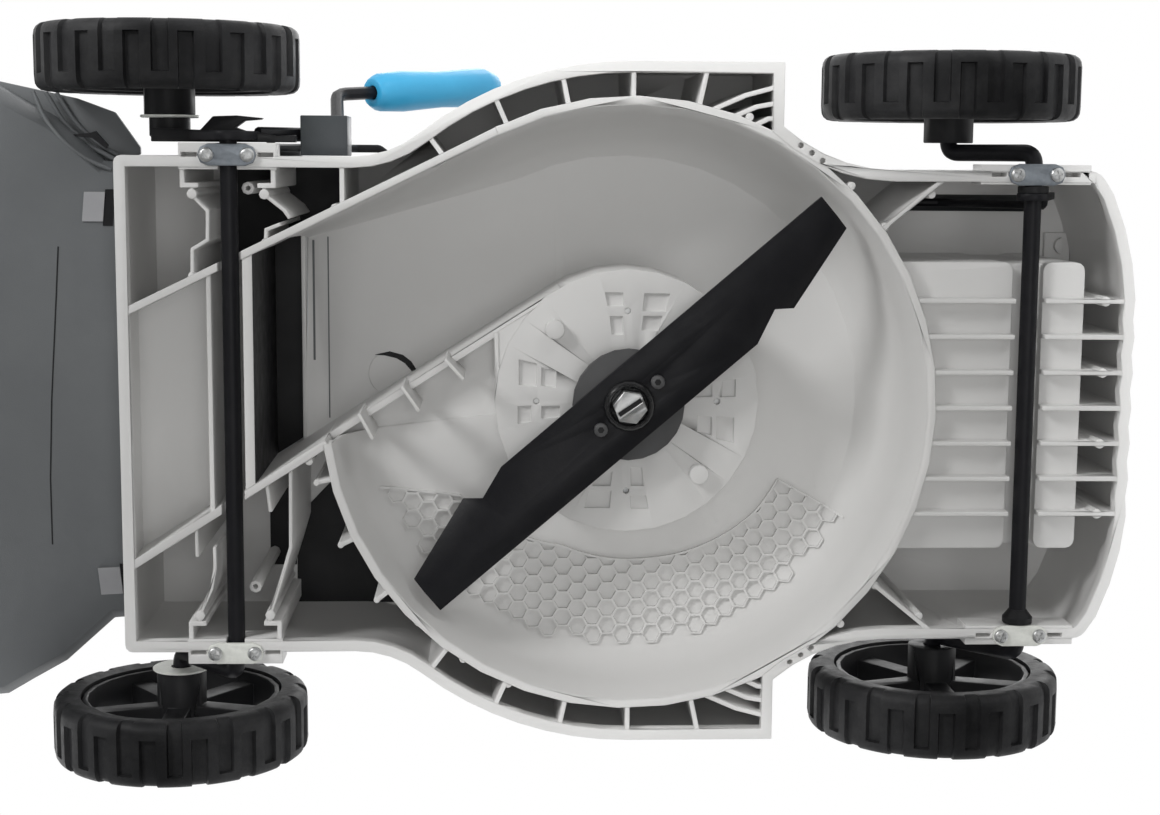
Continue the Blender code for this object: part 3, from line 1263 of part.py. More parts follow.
def height_lever(mats, rear):
    # the right-hand crank is a plate with the wheel's stub, the link's eye and the lever
    wheel_x = REAR_AXLE - CRANK_BACK
    pin_x, pin_z = link_pin(REAR_AXLE)
    plate = upright("height_lever", hull([(REAR_AXLE, AXLE_HEIGHT, 11 * MM), (wheel_x, WHEEL_RADIUS, 9 * MM),
                                          (pin_x, pin_z, 7 * MM)]), -LEVER_PLATE_OUT, -LEVER_PLATE_IN)
    stub = rod("stub", (wheel_x, -stub_end(REAR_WHEEL_INNER), WHEEL_RADIUS),
               (wheel_x, -LEVER_PLATE_IN - 1 * MM, WHEEL_RADIUS), AXLE_RADIUS, 12)
    rise = math.radians(LEVER_ANGLE)
    root = (REAR_AXLE + 20 * MM * math.cos(rise), -LEVER_PLACE, AXLE_HEIGHT + 20 * MM * math.sin(rise))
    elbow = (REAR_AXLE + LEVER_ELBOW * math.cos(rise), -LEVER_PLACE, AXLE_HEIGHT + LEVER_ELBOW * math.sin(rise))
    along = (Vector(GRIP_END) - Vector(GRIP_START)).normalized()
    bend = Vector(GRIP_START) - along * LEVER_BEND
    tip = Vector(GRIP_START) + along * 30 * MM
    bar = tube("bar", rounded_path([root, elbow, bend, tip], 14 * MM, 3), LEVER_ROD, 2)
    body = join(plate, stub, bar)
    holes = [rod("bore", (REAR_AXLE, -1, AXLE_HEIGHT), (REAR_AXLE, 1, AXLE_HEIGHT), AXLE_RADIUS + GAP, 12),
             rod("bore", (pin_x, -1, pin_z), (pin_x, 1, pin_z), LINK_ROD + GAP, 8)]
    keep(cut(body, *holes), mats["black_steel"], rear)
    length = (Vector(GRIP_END) - Vector(GRIP_START)).length
    bore = LEVER_ROD + GAP
    profile = [(0, 30.5 * MM), (bore, 30.5 * MM), (bore, 3 * MM), (0.7 * GRIP_RADIUS, 3 * MM),
               (0.92 * GRIP_RADIUS, 8 * MM), (GRIP_RADIUS, 0.25 * length), (0.9 * GRIP_RADIUS, 0.55 * length),
               (GRIP_RADIUS, 0.88 * length), (0.7 * GRIP_RADIUS, 0.98 * length), (0, length)]
    grip = turned("height_lever_grip", profile, 14)
    keep(aimed(grip, GRIP_START, along), mats["cyan"], rear)


def link_rod(mats, rear):
    start_x, start_z = link_pin(REAR_AXLE)
    end_x, end_z = link_pin(FRONT_AXLE)
    mark = pivot("link_rod_axis", (start_x, -LEVER_PLATE_IN, start_z), rear)
    outer, inner = LINK_PLACE, FRONT_LINK_PLACE - LINK_ARM - LINK_BEND - 0.5 * MM
    high = DECK_TOP + LINK_ROD + 3.5 * MM
    path = [(start_x, -LEVER_PLATE_OUT, start_z), (start_x, -outer, start_z), (start_x + 12 * MM, -outer, 95 * MM),
            (-160 * MM, -outer, high), (-146 * MM, -outer, high), (-105 * MM, -inner, high),
            (198 * MM, -inner, high), (end_x, -inner, 90 * MM), (end_x, -inner, end_z),
            (end_x, -FRONT_LINK_PLACE - 1 * MM, end_z)]
    bends = rounded_path(path, LINK_BEND, 2)
    keep(tube("link_rod", bends, LINK_ROD, 2), mats["black_steel"], mark)


def clamp_plates(mats):
    for end, axle, place in (("rear", REAR_AXLE, REAR_CLAMP), ("front", FRONT_AXLE, FRONT_CLAMP)):
        for side, hand in ((1, "left"), (-1, "right")):
            y = side * place
            top = RIM_HEIGHT
            reach = (CLAMP_LENGTH - CLAMP_WIDTH) / 2
            outline = arc((axle + reach, y), CLAMP_WIDTH / 2, -90, 90, 4)
            outline += arc((axle - reach, y), CLAMP_WIDTH / 2, 90, 270, 4)
            plate = prism("axle_clamp_%s_%s" % (end, hand), outline, top - CLAMP_THICKNESS, top)
            holes = []
            for x in (axle - CLAMP_SCREWS / 2, axle + CLAMP_SCREWS / 2):
                holes.append(rod("bore", (x, y, 0), (x, y, 1), CLAMP_SCREW + GAP, 6))
            keep(cut(plate, *holes), mats["zinc"])


def lever_guide(mats):
    rear, front, low, high = LEVER_GUIDE
    near = REAR_HALF_WIDTH + GAP
    body = box("lever_guide_box", (rear, -LEVER_GUIDE_OUT, low), (front, -near, high))
    hollow = box("hollow", (rear - 1 * MM, -LEVER_GUIDE_OUT + GUIDE_WALL, low + GUIDE_WALL),
                 (front - GUIDE_WALL, -near - GUIDE_WALL, high + 1 * MM))
    keep(cut(body, hollow), mats["dark_grey"])


# Bodywork

def top_cover(mats):
    low = DECK_TOP + GAP
    rings = [arch(x * MM, half * MM, low, height * MM, 3.2, 14) for x, half, height in COVER_STATIONS]
    cover = moulded("top_cover", rings, COVER_WALL, False, (0, -1))
    inner = FRONT_LINK_PLACE - LINK_ARM
    (x1, y1, z1), (x2, y2, z2) = battery_box()
    play = 0.8 * MM
    openings = [box("underside", (-1, -1, low - 0.1), (1, 1, low)),
                box("battery_opening", (x1 - play, y1 - play, low + 10 * MM), (x2 + play, y2 + play, 1)),
                box("link_notch", (-175 * MM, -135 * MM, low - 2 * MM), (-70 * MM, -inner + 14 * MM, low + 13 * MM)),
                box("key_slot", (KEY_PLACE[0] - KEY_BLADE[0] / 2 - 2 * GAP, KEY_PLACE[1] - KEY_BLADE[1] / 2 - 2 * GAP,
                                 low + 10 * MM),
                    (KEY_PLACE[0] + KEY_BLADE[0] / 2 + 2 * GAP, KEY_PLACE[1] + KEY_BLADE[1] / 2 + 2 * GAP, 1))]
    keep(cut(cover, *openings), mats["dark_grey"])


def battery_box():
    wall_y = TRAY_HALF_WIDTH - TRAY_WALL - BATTERY_PLAY
    front = TRAY_BLOCKS[1][1] - TRAY_WALL - BATTERY_PLAY
    low = RIM_HEIGHT + TRAY_CHANNEL + TRAY_WALL + GAP
    return (TRAY_REAR + BATTERY_PLAY, -wall_y, low), (front, wall_y, BATTERY_TOP)


def battery(mats):
    low, high = battery_box()
    mark = pivot("battery_slide", low)
    pack = bevelled(box("battery_pack", low, high), 3 * MM, 2)
    x = (low[0] + high[0]) / 2
    grip = box("grip", (low[0] + 12 * MM, -40 * MM, high[2] - 16 * MM), (low[0] + 30 * MM, 40 * MM, high[2] + 1 * MM))
    pocket_low = (x + 4 * MM, -LATCH_HALF - GAP, high[2] - 12 * MM)
    pocket_high = (x + 4 * MM + LATCH_LENGTH + 2 * GAP, LATCH_HALF + GAP, high[2] + 1 * MM)
    keep(cut(pack, grip, box("latch_pocket", pocket_low, pocket_high)), mats["black_plastic"], mark)
    latch = box("battery_latch", (pocket_low[0] + GAP, -LATCH_HALF, high[2] - 12 * MM + LATCH_TRAVEL + GAP),
                (pocket_high[0] - GAP, LATCH_HALF, high[2] + 2 * MM))
    latch_mark = pivot("battery_latch_slide", (x, 0, high[2]), mark)
    keep(bevelled(latch, 1.2 * MM, 1), mats["cyan"], latch_mark)
    floor = RIM_HEIGHT + TRAY_BLOCK_BOTTOM + TRAY_WALL + GAP
    contacts = box("battery_contacts", (low[0] + 5 * MM, -25 * MM, floor), (low[0] + 29 * MM, 25 * MM, low[2] - GAP))
    keep(bevelled(contacts, 1 * MM, 1), mats["black_plastic"])
    key_x, key_y = KEY_PLACE
    blade_low = KEY_SEAT - KEY_BLADE[2]
    key = box("safety_key", (key_x - KEY_BLADE[0] / 2, key_y - KEY_BLADE[1] / 2, blade_low),
              (key_x + KEY_BLADE[0] / 2, key_y + KEY_BLADE[1] / 2, KEY_SEAT + 1 * MM))
    head = box("head", (key_x - 5.5 * MM, key_y - 15 * MM, KEY_SEAT),
               (key_x + 5.5 * MM, key_y + 15 * MM, KEY_SEAT + 13 * MM))
    key_mark = pivot("safety_key_slide", (key_x, key_y, KEY_SEAT))
    keep(join(key, bevelled(head, 2 * MM, 1)), mats["red"], key_mark)


def panelled(x, half, low, high):
    # the collector's section: a flat bottom panel, a slope to each side and rounded upper corners
    rounding = 0.18 * (high - low)
    left = [(PANEL_HALF, low), (half - 7 * MM, low + PANEL_SLOPE), (half, low + PANEL_SLOPE + 12 * MM)]
    left += arc((half - rounding, high - rounding), rounding, 0, 90, 4)
    right = [(-y, z) for y, z in left[::-1]]
    return [(x, y, z) for y, z in left + right]


def collector(mats):
    mark = pivot("collector_slide", (NECK_FRONT, 0, 100 * MM))
    rings = [panelled(x * MM, half * MM, low * MM, high * MM) for x, half, low, high in COLLECTOR_STATIONS]
    rings[0] = [(NECK_FRONT, y, z) for x, y, z in rings[0]]
    shell = moulded("collector_tub", rings, COLLECTOR_WALL, True, (-1,))
    lid = shell.copy()
    lid.data = shell.data.copy()
    lid.name = "collector_lid"
    bpy.data.collections["cutters"].objects.link(lid)
    split = COLLECTOR_SPLIT
    tub = cut(shell, box("above", (-1, -1, split - GAP / 2), (0, 1, 1)))
    lid = cut(lid, box("below", (-1, -1, -1), (0, 1, split + GAP / 2)))
    hooks = []
    deck_top = DECK_TOP + GAP
    for side in (1, -1):
        y1, y2 = sorted((side * HOOK_PLACE[0], side * HOOK_PLACE[1]))
        hooks.append(box("hook", (NECK_FRONT - 12 * MM, y1, 124 * MM), (NECK_FRONT - 0.5 * MM, y2, deck_top + 4 * MM)))
        hooks.append(box("hook_tip", (NECK_FRONT - 10 * MM, y1 + 0.2 * MM, deck_top),
                         (NECK_FRONT + 18 * MM, y2 - 0.2 * MM, deck_top + 3.8 * MM)))
    tub = join(tub, *hooks[::2])
    tub = join(tub, *hooks[1::2])
    keep(tub, mats["dark_grey"], mark)
    flap_x1, flap_x2, flap_half = FILL_FLAP
    window = box("fill_window", (flap_x1 + 5 * MM, -flap_half + 5 * MM, 0.25),
                 (flap_x2 - 5 * MM, flap_half - 5 * MM, 1))
    keep(cut(lid, window), mats["dark_grey"], mark)
    top = COLLECTOR_TOP + GAP
    flap_mark = pivot("fill_flap_axis", (flap_x2, 0, top), mark)
    keep(bevelled(box("fill_flap", (flap_x1, -flap_half, top), (flap_x2, flap_half, top + 2.5 * MM)), 0.8 * MM, 1),
         mats["black_plastic"], flap_mark)
    start, end = CARRY_HANDLE
    path = rounded_path([(start, 0, top), (start, 0, top + 34 * MM), (end, 0, top + 34 * MM), (end, 0, top)],
                        12 * MM, 4)
    keep(tube("collector_handle", path, 8 * MM, 3), mats["black_plastic"], mark)


def rear_flap(mats):
    x, z = FLAP_PIN
    mark = pivot("rear_flap_axis", (x, 0, z))
    lug = FLAP_HALF + FLAP_LUG + 3 * MM
    keep(rod("flap_pin", (x, -lug, z), (x, lug, z), PIN_RADIUS, 12), mats["steel"])
    slope = math.tan(math.radians(FLAP_SLOPE))
    end_x = x - FLAP_LENGTH
    low = z - 2.5 * MM
    outline = [(x, low), (x, z + 3 * MM), (end_x, z + 3 * MM + slope * FLAP_LENGTH - 2 * MM),
               (end_x, low + slope * FLAP_LENGTH)]
    plate = upright("rear_flap", outline, -FLAP_HALF, FLAP_HALF)
    barrel = rod("barrel", (x, -FLAP_HALF + 0.2 * MM, z), (x, FLAP_HALF - 0.2 * MM, z), 5.2 * MM, 16)
    body = join(plate, barrel)
    body = cut(body, rod("bore", (x, -1, z), (x, 1, z), PIN_RADIUS + GAP, 16))
    keep(body, mats["dark_grey"], mark)


# Handle

def along_handle(distance, rise=0.0):
    # a place in the handle's plane: along the tubes from the deck pivot, and off them towards the front
    turn = math.radians(HANDLE_ANGLE)
    x = HANDLE_PIVOT[0] + distance * math.cos(turn) + rise * math.sin(turn)
    z = HANDLE_PIVOT[1] + distance * math.sin(turn) - rise * math.cos(turn)
    return x, z


def crosswise(name, place, near, far, radius, sides=16):
    x, z = place
    return rod(name, (x, near, z), (x, far, z), radius, sides)


def handle_brackets(mats):
    x, z = HANDLE_PIVOT
    top = DECK_TOP + GAP
    inner = HANDLE_TUBE + GAP
    outer = inner + BRACKET_WALL
    for side, name in ((1, "left"), (-1, "right")):
        y = side * LEG_PLACE
        outline = hull([(x, z, 13 * MM), (x - 18 * MM, top + 2 * MM, 2 * MM), (x + 16 * MM, top + 2 * MM, 2 * MM)])
        body = upright("handle_bracket_" + name, outline, y - outer, y + outer)
        gap = box("gap", (x - 40 * MM, y - inner, top + 4 * MM), (x + 40 * MM, y + inner, z + 40 * MM))
        bore = crosswise("bore", (x, z), y - 40 * MM, y + 40 * MM, BOLT_RADIUS + GAP, 8)
        keep(cut(body, gap, bore), mats["black_plastic"])
        bolt = crosswise("pivot_knob_" + name, (x, z), y - side * (outer + 2 * MM), y + side * (outer + 3 * MM),
                         BOLT_RADIUS, 8)
        knob = crosswise("knob", (x, z), y + side * (outer + GAP), y + side * (outer + 11 * MM), 11 * MM, 12)
        head = crosswise("head", (x, z), y - side * (outer + GAP), y - side * (outer + 5 * MM), 7 * MM, 6)
        keep(join(bolt, knob, head), mats["black_plastic"])


def lower_handle(mats):
    x, z = HANDLE_PIVOT
    mark = pivot("lower_handle_axis", (x, 0, z))
    for side, name in ((1, "left"), (-1, "right")):
        y = side * LEG_PLACE
        start, end = along_handle(-9 * MM), along_handle(LEG_LENGTH + 10 * MM)
        leg = rod("handle_leg_" + name, (start[0], y, start[1]), (end[0], y, end[1]), HANDLE_TUBE, 14)
        joint = along_handle(LEG_LENGTH)
        holes = [crosswise("bore", (x, z), y - 40 * MM, y + 40 * MM, PIVOT_BORE, 12),
                 crosswise("bore", joint, y - 40 * MM, y + 40 * MM, BOLT_RADIUS + GAP, 8)]
        keep(cut(leg, *holes), mats["grey_metal"], mark)
        keep(release_bolt(side, name, joint), mats["zinc"], mark)
        release_lever(mats, side, name, joint, mark)
    return mark


def release_bolt(side, name, joint):
    inner = LEG_PLACE - HANDLE_TUBE - GAP
    outer = BAR_PLACE + HANDLE_TUBE + GAP
    bolt = crosswise("release_bolt_" + name, joint, side * (inner - 3 * MM),
                     side * (outer + 3 * MM + RELEASE_CAM + 2 * MM), BOLT_RADIUS, 8)
    head = crosswise("head", joint, side * (inner - 5 * MM), side * inner, 8 * MM, 6)
    collar_piece = crosswise("collar", joint, side * outer, side * (outer + 3 * MM), 9 * MM, 12)
    return join(bolt, head, collar_piece)


def release_lever(mats, side, name, joint, parent):
    # lies along the bar when it is closed and swings outwards about a pin across the bolt
    outer = BAR_PLACE + HANDLE_TUBE + GAP + 3 * MM + GAP
    cam = RELEASE_CAM
    mark = pivot("quick_release_axis_" + name, (joint[0], side * (outer + cam), joint[1]), parent)
    turn = math.radians(HANDLE_ANGLE)
    outline = hull([(0, cam, cam), (RELEASE_LENGTH, cam + 2 * MM, 4 * MM)])
    body = prism("quick_release_" + name, outline, -RELEASE_HALF, RELEASE_HALF)
    play = BOLT_RADIUS + GAP
    slot = box("slot", (-20 * MM, -1 * MM, -play), (play + GAP, cam + play, play))
    body = cut(body, slot)
    along = (math.cos(turn), 0, math.sin(turn))
    across = (math.sin(turn), 0, -math.cos(turn))
    frame = Matrix(((along[0], 0, across[0], joint[0]), (0, side, 0, side * outer),
                    (along[2], 0, across[2], joint[1]), (0, 0, 0, 1)))
    body.data.transform(frame)
    if frame.determinant() < 0:
        body.data.flip_normals()
    keep(body, mats["black_plastic"], mark)


def upper_handle(mats, parent):
    joint = along_handle(LEG_LENGTH)
    mark = pivot("upper_handle_axis", (joint[0], 0, joint[1]), parent)
    start = along_handle(LEG_LENGTH - 12 * MM)
    flare = along_handle(LEG_LENGTH + 60 * MM)
    wide = along_handle(LEG_LENGTH + 190 * MM)
    top = along_handle(LEG_LENGTH + BAR_LENGTH)
    half = [(top[0], BAR_HALF, top[1]), (wide[0], BAR_HALF, wide[1]), (flare[0], BAR_PLACE, flare[1]),
            (start[0], BAR_PLACE, start[1])]
    path = rounded_path([(px, -py, pz) for px, py, pz in half[::-1]] + half, BAR_BEND, 3)
    bar = tube("upper_bar", path, HANDLE_TUBE, 3)
    holes = []
    for side in (1, -1):
        holes.append(crosswise("bore", joint, side * (BAR_PLACE - 30 * MM), side * (BAR_PLACE + 30 * MM),
                               PIVOT_BORE, 12))
    keep(cut(bar, *holes), mats["grey_metal"], mark)
    reach = BAR_HALF - BAR_BEND - 6 * MM
    sleeve = crosswise("grip_sleeve", top, -reach, reach, HANDLE_TUBE + SLEEVE, 16)
    sleeve = cut(sleeve, crosswise("bore", top, -1, 1, HANDLE_TUBE + 2 * GAP, 16))
    keep(sleeve, mats["rubber"], mark)
    bail_parts(mats, mark)


def handle_block(name, side, start, end, rise, drop, half):
    # a housing clamped round one side tube of the upper bar
    low_s, high_s = LEG_LENGTH + start, LEG_LENGTH + end
    outline = [along_handle(low_s, rise), along_handle(high_s, rise), along_handle(high_s, -drop),
               along_handle(low_s, -drop)]
    y = side * BAR_HALF
    body = bevelled(upright(name, outline, y - half, y + half), 3 * MM, 1)
    a, b = along_handle(low_s - 0.02), along_handle(high_s + 0.02)
    return cut(body, rod("tube_bore", (a[0], y, a[1]), (b[0], y, b[1]), HANDLE_TUBE + GAP, 16))


def bail_parts(mats, mark):
    switch = handle_block("switch_box", -1, BOX_START, BOX_END, 44 * MM, 17 * MM, 21 * MM)
    holder = handle_block("bail_holder", 1, BOX_START + 15 * MM, BOX_END - 20 * MM, 30 * MM, 16 * MM, 16 * MM)
    pin = along_handle(LEG_LENGTH + BAIL_START, BAIL_RISE)
    bore = crosswise("bore", pin, -(BAR_HALF - 7.5 * MM), BAR_HALF - 40 * MM, BAIL_WIRE + GAP, 12)
    other = crosswise("bore", pin, BAR_HALF - 7.5 * MM, 0, BAIL_WIRE + GAP, 12)
    button_place = along_handle(LEG_LENGTH + (BOX_START + BOX_END) / 2, 44 * MM)
    hole_depth = along_handle(LEG_LENGTH + (BOX_START + BOX_END) / 2, 34 * MM)
    pocket = rod("pocket", (hole_depth[0], -BAR_HALF, hole_depth[1]),
                 (2 * button_place[0] - hole_depth[0], -BAR_HALF, 2 * button_place[1] - hole_depth[1]),
                 BUTTON_RADIUS + GAP, 16)
    keep(cut(switch, bore, pocket), mats["black_plastic"], mark)
    keep(cut(holder, other), mats["black_plastic"], mark)
    out = along_handle(LEG_LENGTH + (BOX_START + BOX_END) / 2, 49 * MM)
    deep = along_handle(LEG_LENGTH + (BOX_START + BOX_END) / 2, 34 * MM + BUTTON_TRAVEL + GAP)
    button = rod("lock_button", (deep[0], -BAR_HALF, deep[1]), (out[0], -BAR_HALF, out[1]), BUTTON_RADIUS, 16)
    button_mark = pivot("lock_button_slide", (button_place[0], -BAR_HALF, button_place[1]), mark)
    keep(button, mats["cyan"], button_mark)
    swing = math.radians(BAIL_REST)
    far = along_handle(LEG_LENGTH + BAIL_START + BAIL_LENGTH * math.cos(swing),
                       BAIL_RISE + BAIL_LENGTH * math.sin(swing))
    inside = BAR_HALF - 8.6 * MM
    lean = BAR_HALF - 30 * MM
    half = [(far[0], lean, far[1]), (pin[0], lean, pin[1]), (pin[0], inside, pin[1])]
    path = rounded_path([(px, -py, pz) for px, py, pz in half[::-1]] + half, 8 * MM, 3)
    bail_mark = pivot("bail_axis", (pin[0], 0, pin[1]), mark)
    keep(tube("bail", path, BAIL_WIRE, 2), mats["black_steel"], bail_mark)


def stand_on_ground():
    # moves the whole machine so that its origin is on the ground in the middle of its outline
    bpy.context.view_layer.update()
    pieces = bpy.data.collections["cordless_lawn_mower"].objects
    corners = []
    for piece in pieces:
        if piece.type == "MESH":
            corners += [piece.matrix_world @ Vector(vert.co) for vert in piece.data.vertices]
    low = [min(c[i] for c in corners) for i in range(3)]
    high = [max(c[i] for c in corners) for i in range(3)]
    shift = Vector(((low[0] + high[0]) / 2, (low[1] + high[1]) / 2, low[2]))
    for piece in pieces:
        if piece.parent is None:
            piece.location -= shift


def build():
    clear_scene()
    mats = {
        "light_grey": material("light_grey_plastic", (0.78, 0.77, 0.75), 0.5),
        "dark_grey": material("dark_grey_plastic", (0.12, 0.12, 0.13), 0.45),
        "grey_plastic": material("mid_grey_plastic", (0.4, 0.4, 0.41), 0.5),
        "black_plastic": material("black_plastic", (0.02, 0.02, 0.022), 0.5),
        "rubber": material("black_rubber", (0.025, 0.025, 0.025), 0.8),
        "black_steel": material("black_coated_steel", (0.025, 0.025, 0.027), 0.4, 0.3),
        "steel": material("bright_steel", (0.6, 0.6, 0.6), 0.3, 1.0),
        "zinc": material("zinc_plated_steel", (0.55, 0.55, 0.53), 0.4, 0.9),
        "grey_metal": material("dark_grey_tube", (0.1, 0.1, 0.11), 0.35, 0.6),
        "cyan": material("cyan_plastic", (0.06, 0.42, 0.7), 0.4),
        "red": material("red_plastic", (0.55, 0.03, 0.02), 0.4),
    }
    deck_shell(mats["light_grey"])
    motor(mats)
    cutting_head(mats)
    units = axles(mats)
    wheel_sets(mats, units)
    link_rod(mats, units[REAR_AXLE])
    clamp_plates(mats)
    lever_guide(mats)
    top_cover(mats)
    battery(mats)
    collector(mats)
    rear_flap(mats)
    handle_brackets(mats)
    lower = lower_handle(mats)
    upper_handle(mats, lower)
    stand_on_ground()


build()
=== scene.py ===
# Cordless lawn mower seen from below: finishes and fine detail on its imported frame

import json
import math

import bmesh
import bpy
from mathutils import Matrix, Vector


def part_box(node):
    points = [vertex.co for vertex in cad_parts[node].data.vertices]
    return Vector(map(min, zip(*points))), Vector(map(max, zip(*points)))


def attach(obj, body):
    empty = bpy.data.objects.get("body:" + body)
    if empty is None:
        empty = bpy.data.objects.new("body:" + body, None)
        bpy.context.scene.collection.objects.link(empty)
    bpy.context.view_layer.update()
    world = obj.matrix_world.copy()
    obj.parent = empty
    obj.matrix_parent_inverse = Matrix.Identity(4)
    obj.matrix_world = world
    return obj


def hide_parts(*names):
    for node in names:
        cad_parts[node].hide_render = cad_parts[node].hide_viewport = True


mm = 0.001
weldDistance = 0.00002
rayStart = 0.03  # metres above the ground, below every surface that pieces are laid on

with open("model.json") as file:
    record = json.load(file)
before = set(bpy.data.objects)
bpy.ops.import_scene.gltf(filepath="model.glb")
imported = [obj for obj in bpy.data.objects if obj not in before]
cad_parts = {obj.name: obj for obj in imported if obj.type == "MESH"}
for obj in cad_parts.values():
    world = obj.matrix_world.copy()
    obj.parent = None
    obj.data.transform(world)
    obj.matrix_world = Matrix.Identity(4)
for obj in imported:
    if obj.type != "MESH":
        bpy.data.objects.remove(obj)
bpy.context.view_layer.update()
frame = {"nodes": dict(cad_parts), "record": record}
cadNodes = frame["nodes"]
bodyOf = {node: body for body, nodes in frame["record"]["behaviour"]["bodies"].items() for node in nodes}
slotOf = {row["node"]: row["material_slot"] for row in frame["record"]["subparts"]}
shaftLow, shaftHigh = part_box("spindle_shaft")
spindleX = (shaftLow.x + shaftHigh.x) / 2
ends = ("rear_left", "rear_right", "front_left", "front_right")
hands = ((1, "left"), (-1, "right"))
print("frame loaded:", len(cadNodes), "nodes")


def at(x, y, z):  # millimetres from the blade's axis and the ground
    return Vector((spindleX + x * mm, y * mm, z * mm))


def polar(radius, degrees):
    turn = math.radians(degrees)
    return radius * math.cos(turn), radius * math.sin(turn)


def newObject(name, data):
    piece = bpy.data.objects.new(name, data)
    bpy.context.scene.collection.objects.link(piece)
    return piece


def newNode(tree, kind, values=None):
    node = tree.nodes.new(kind)
    for socket, value in (values or {}).items():
        node.inputs[socket].default_value = value
    return node


def mathNode(tree, operation):
    node = newNode(tree, "ShaderNodeMath")
    node.operation = operation
    return node


def wire(tree, source, output, target, socket):
    tree.links.new(source.outputs[output], target.inputs[socket])


# Materials

def newMaterial(name):
    material = bpy.data.materials.new(name)
    material.use_nodes = True
    tree = material.node_tree
    return material, tree, tree.nodes["Principled BSDF"]


def noiseIn(tree, scale, detail, roughness=0.5, stretch=(1, 1, 1)):
    place = tree.nodes.get("objectPlace")
    if place is None:
        place = newNode(tree, "ShaderNodeTexCoord")
        place.name = "objectPlace"
    mapping = newNode(tree, "ShaderNodeMapping", {"Scale": stretch})
    wire(tree, place, "Object", mapping, "Vector")
    noise = newNode(tree, "ShaderNodeTexNoise", {"Scale": scale, "Detail": detail, "Roughness": roughness})
    wire(tree, mapping, "Vector", noise, "Vector")
    return noise.outputs["Fac"]


def spread(tree, value, low, high, near=0.3, far=0.7):
    ranged = newNode(tree, "ShaderNodeMapRange", {
        "From Min": near, "From Max": far, "To Min": low, "To Max": high})
    tree.links.new(value, ranged.inputs["Value"])
    return ranged.outputs["Result"]


def patchyColour(tree, shader, patches, look, near=0.3, far=0.7):
    share = spread(tree, patches, 0, 1, near, far)
    mix = newNode(tree, "ShaderNodeMix")
    mix.data_type = "RGBA"
    tree.links.new(share, mix.inputs["Factor"])
    for socket, colour in (("A", look["colour"]), ("B", look["shade"])):
        target = [entry for entry in mix.inputs if entry.name == socket and entry.type == "RGBA"][0]
        target.default_value = (*colour, 1)
    tone = [entry for entry in mix.outputs if entry.type == "RGBA"][0]
    tree.links.new(tone, shader.inputs["Base Color"])


def unevenSheen(tree, shader, pattern, look):
    tree.links.new(spread(tree, pattern, *look["roughness"]), shader.inputs["Roughness"])


def bumpFrom(tree, shader, height, depth, before=None):
    bump = newNode(tree, "ShaderNodeBump", {"Distance": depth, "Strength": 1})
    tree.links.new(height, bump.inputs["Height"])
    if before is not None:
        tree.links.new(before, bump.inputs["Normal"])
    wire(tree, bump, "Normal", shader, "Normal")
    return bump.outputs["Normal"]


def mouldedPlastic(name, look):
    material, tree, shader = newMaterial(name)
    patchyColour(tree, shader, noiseIn(tree, look["patch"], 5, 0.6), look)
    unevenSheen(tree, shader, noiseIn(tree, look["patch"] * 2.3, 3), look)
    gentle = bumpFrom(tree, shader, noiseIn(tree, look["ripple"], 2), look["rippleDepth"])
    grain = noiseIn(tree, look["grain"], 2, 0.6)
    bumpFrom(tree, shader, grain, look["grainDepth"], gentle)
    shader.inputs["Specular IOR Level"].default_value = look["gloss"]
    return material


def coatedSteel(name, look):
    material, tree, shader = newMaterial(name)
    patchyColour(tree, shader, noiseIn(tree, 60, 6, 0.65), look)
    unevenSheen(tree, shader, noiseIn(tree, 900, 3, 0.7), look)
    bumpFrom(tree, shader, noiseIn(tree, 700, 2), look["peel"])
    shader.inputs["Specular IOR Level"].default_value = look["gloss"]
    return material


def plainMetal(name, look, metallic=1):
    material, tree, shader = newMaterial(name)
    patchyColour(tree, shader, noiseIn(tree, look["patch"], 5, 0.6), look)
    streaks = noiseIn(tree, 1400, 4, 0.7, look["streak"])
    unevenSheen(tree, shader, streaks, look)
    bumpFrom(tree, shader, streaks, look["relief"])
    shader.inputs["Metallic"].default_value = metallic
    return material


def tyreRubber(name, look):
    material, tree, shader = newMaterial(name)
    patchyColour(tree, shader, noiseIn(tree, 38, 7, 0.7), look, 0.42, 0.72)
    scuffs = noiseIn(tree, 120, 5, 0.65)
    unevenSheen(tree, shader, scuffs, look)
    soft = bumpFrom(tree, shader, scuffs, look["relief"])
    bumpFrom(tree, shader, noiseIn(tree, 2600, 2), look["grainDepth"], soft)
    shader.inputs["Specular IOR Level"].default_value = look["gloss"]
    return material


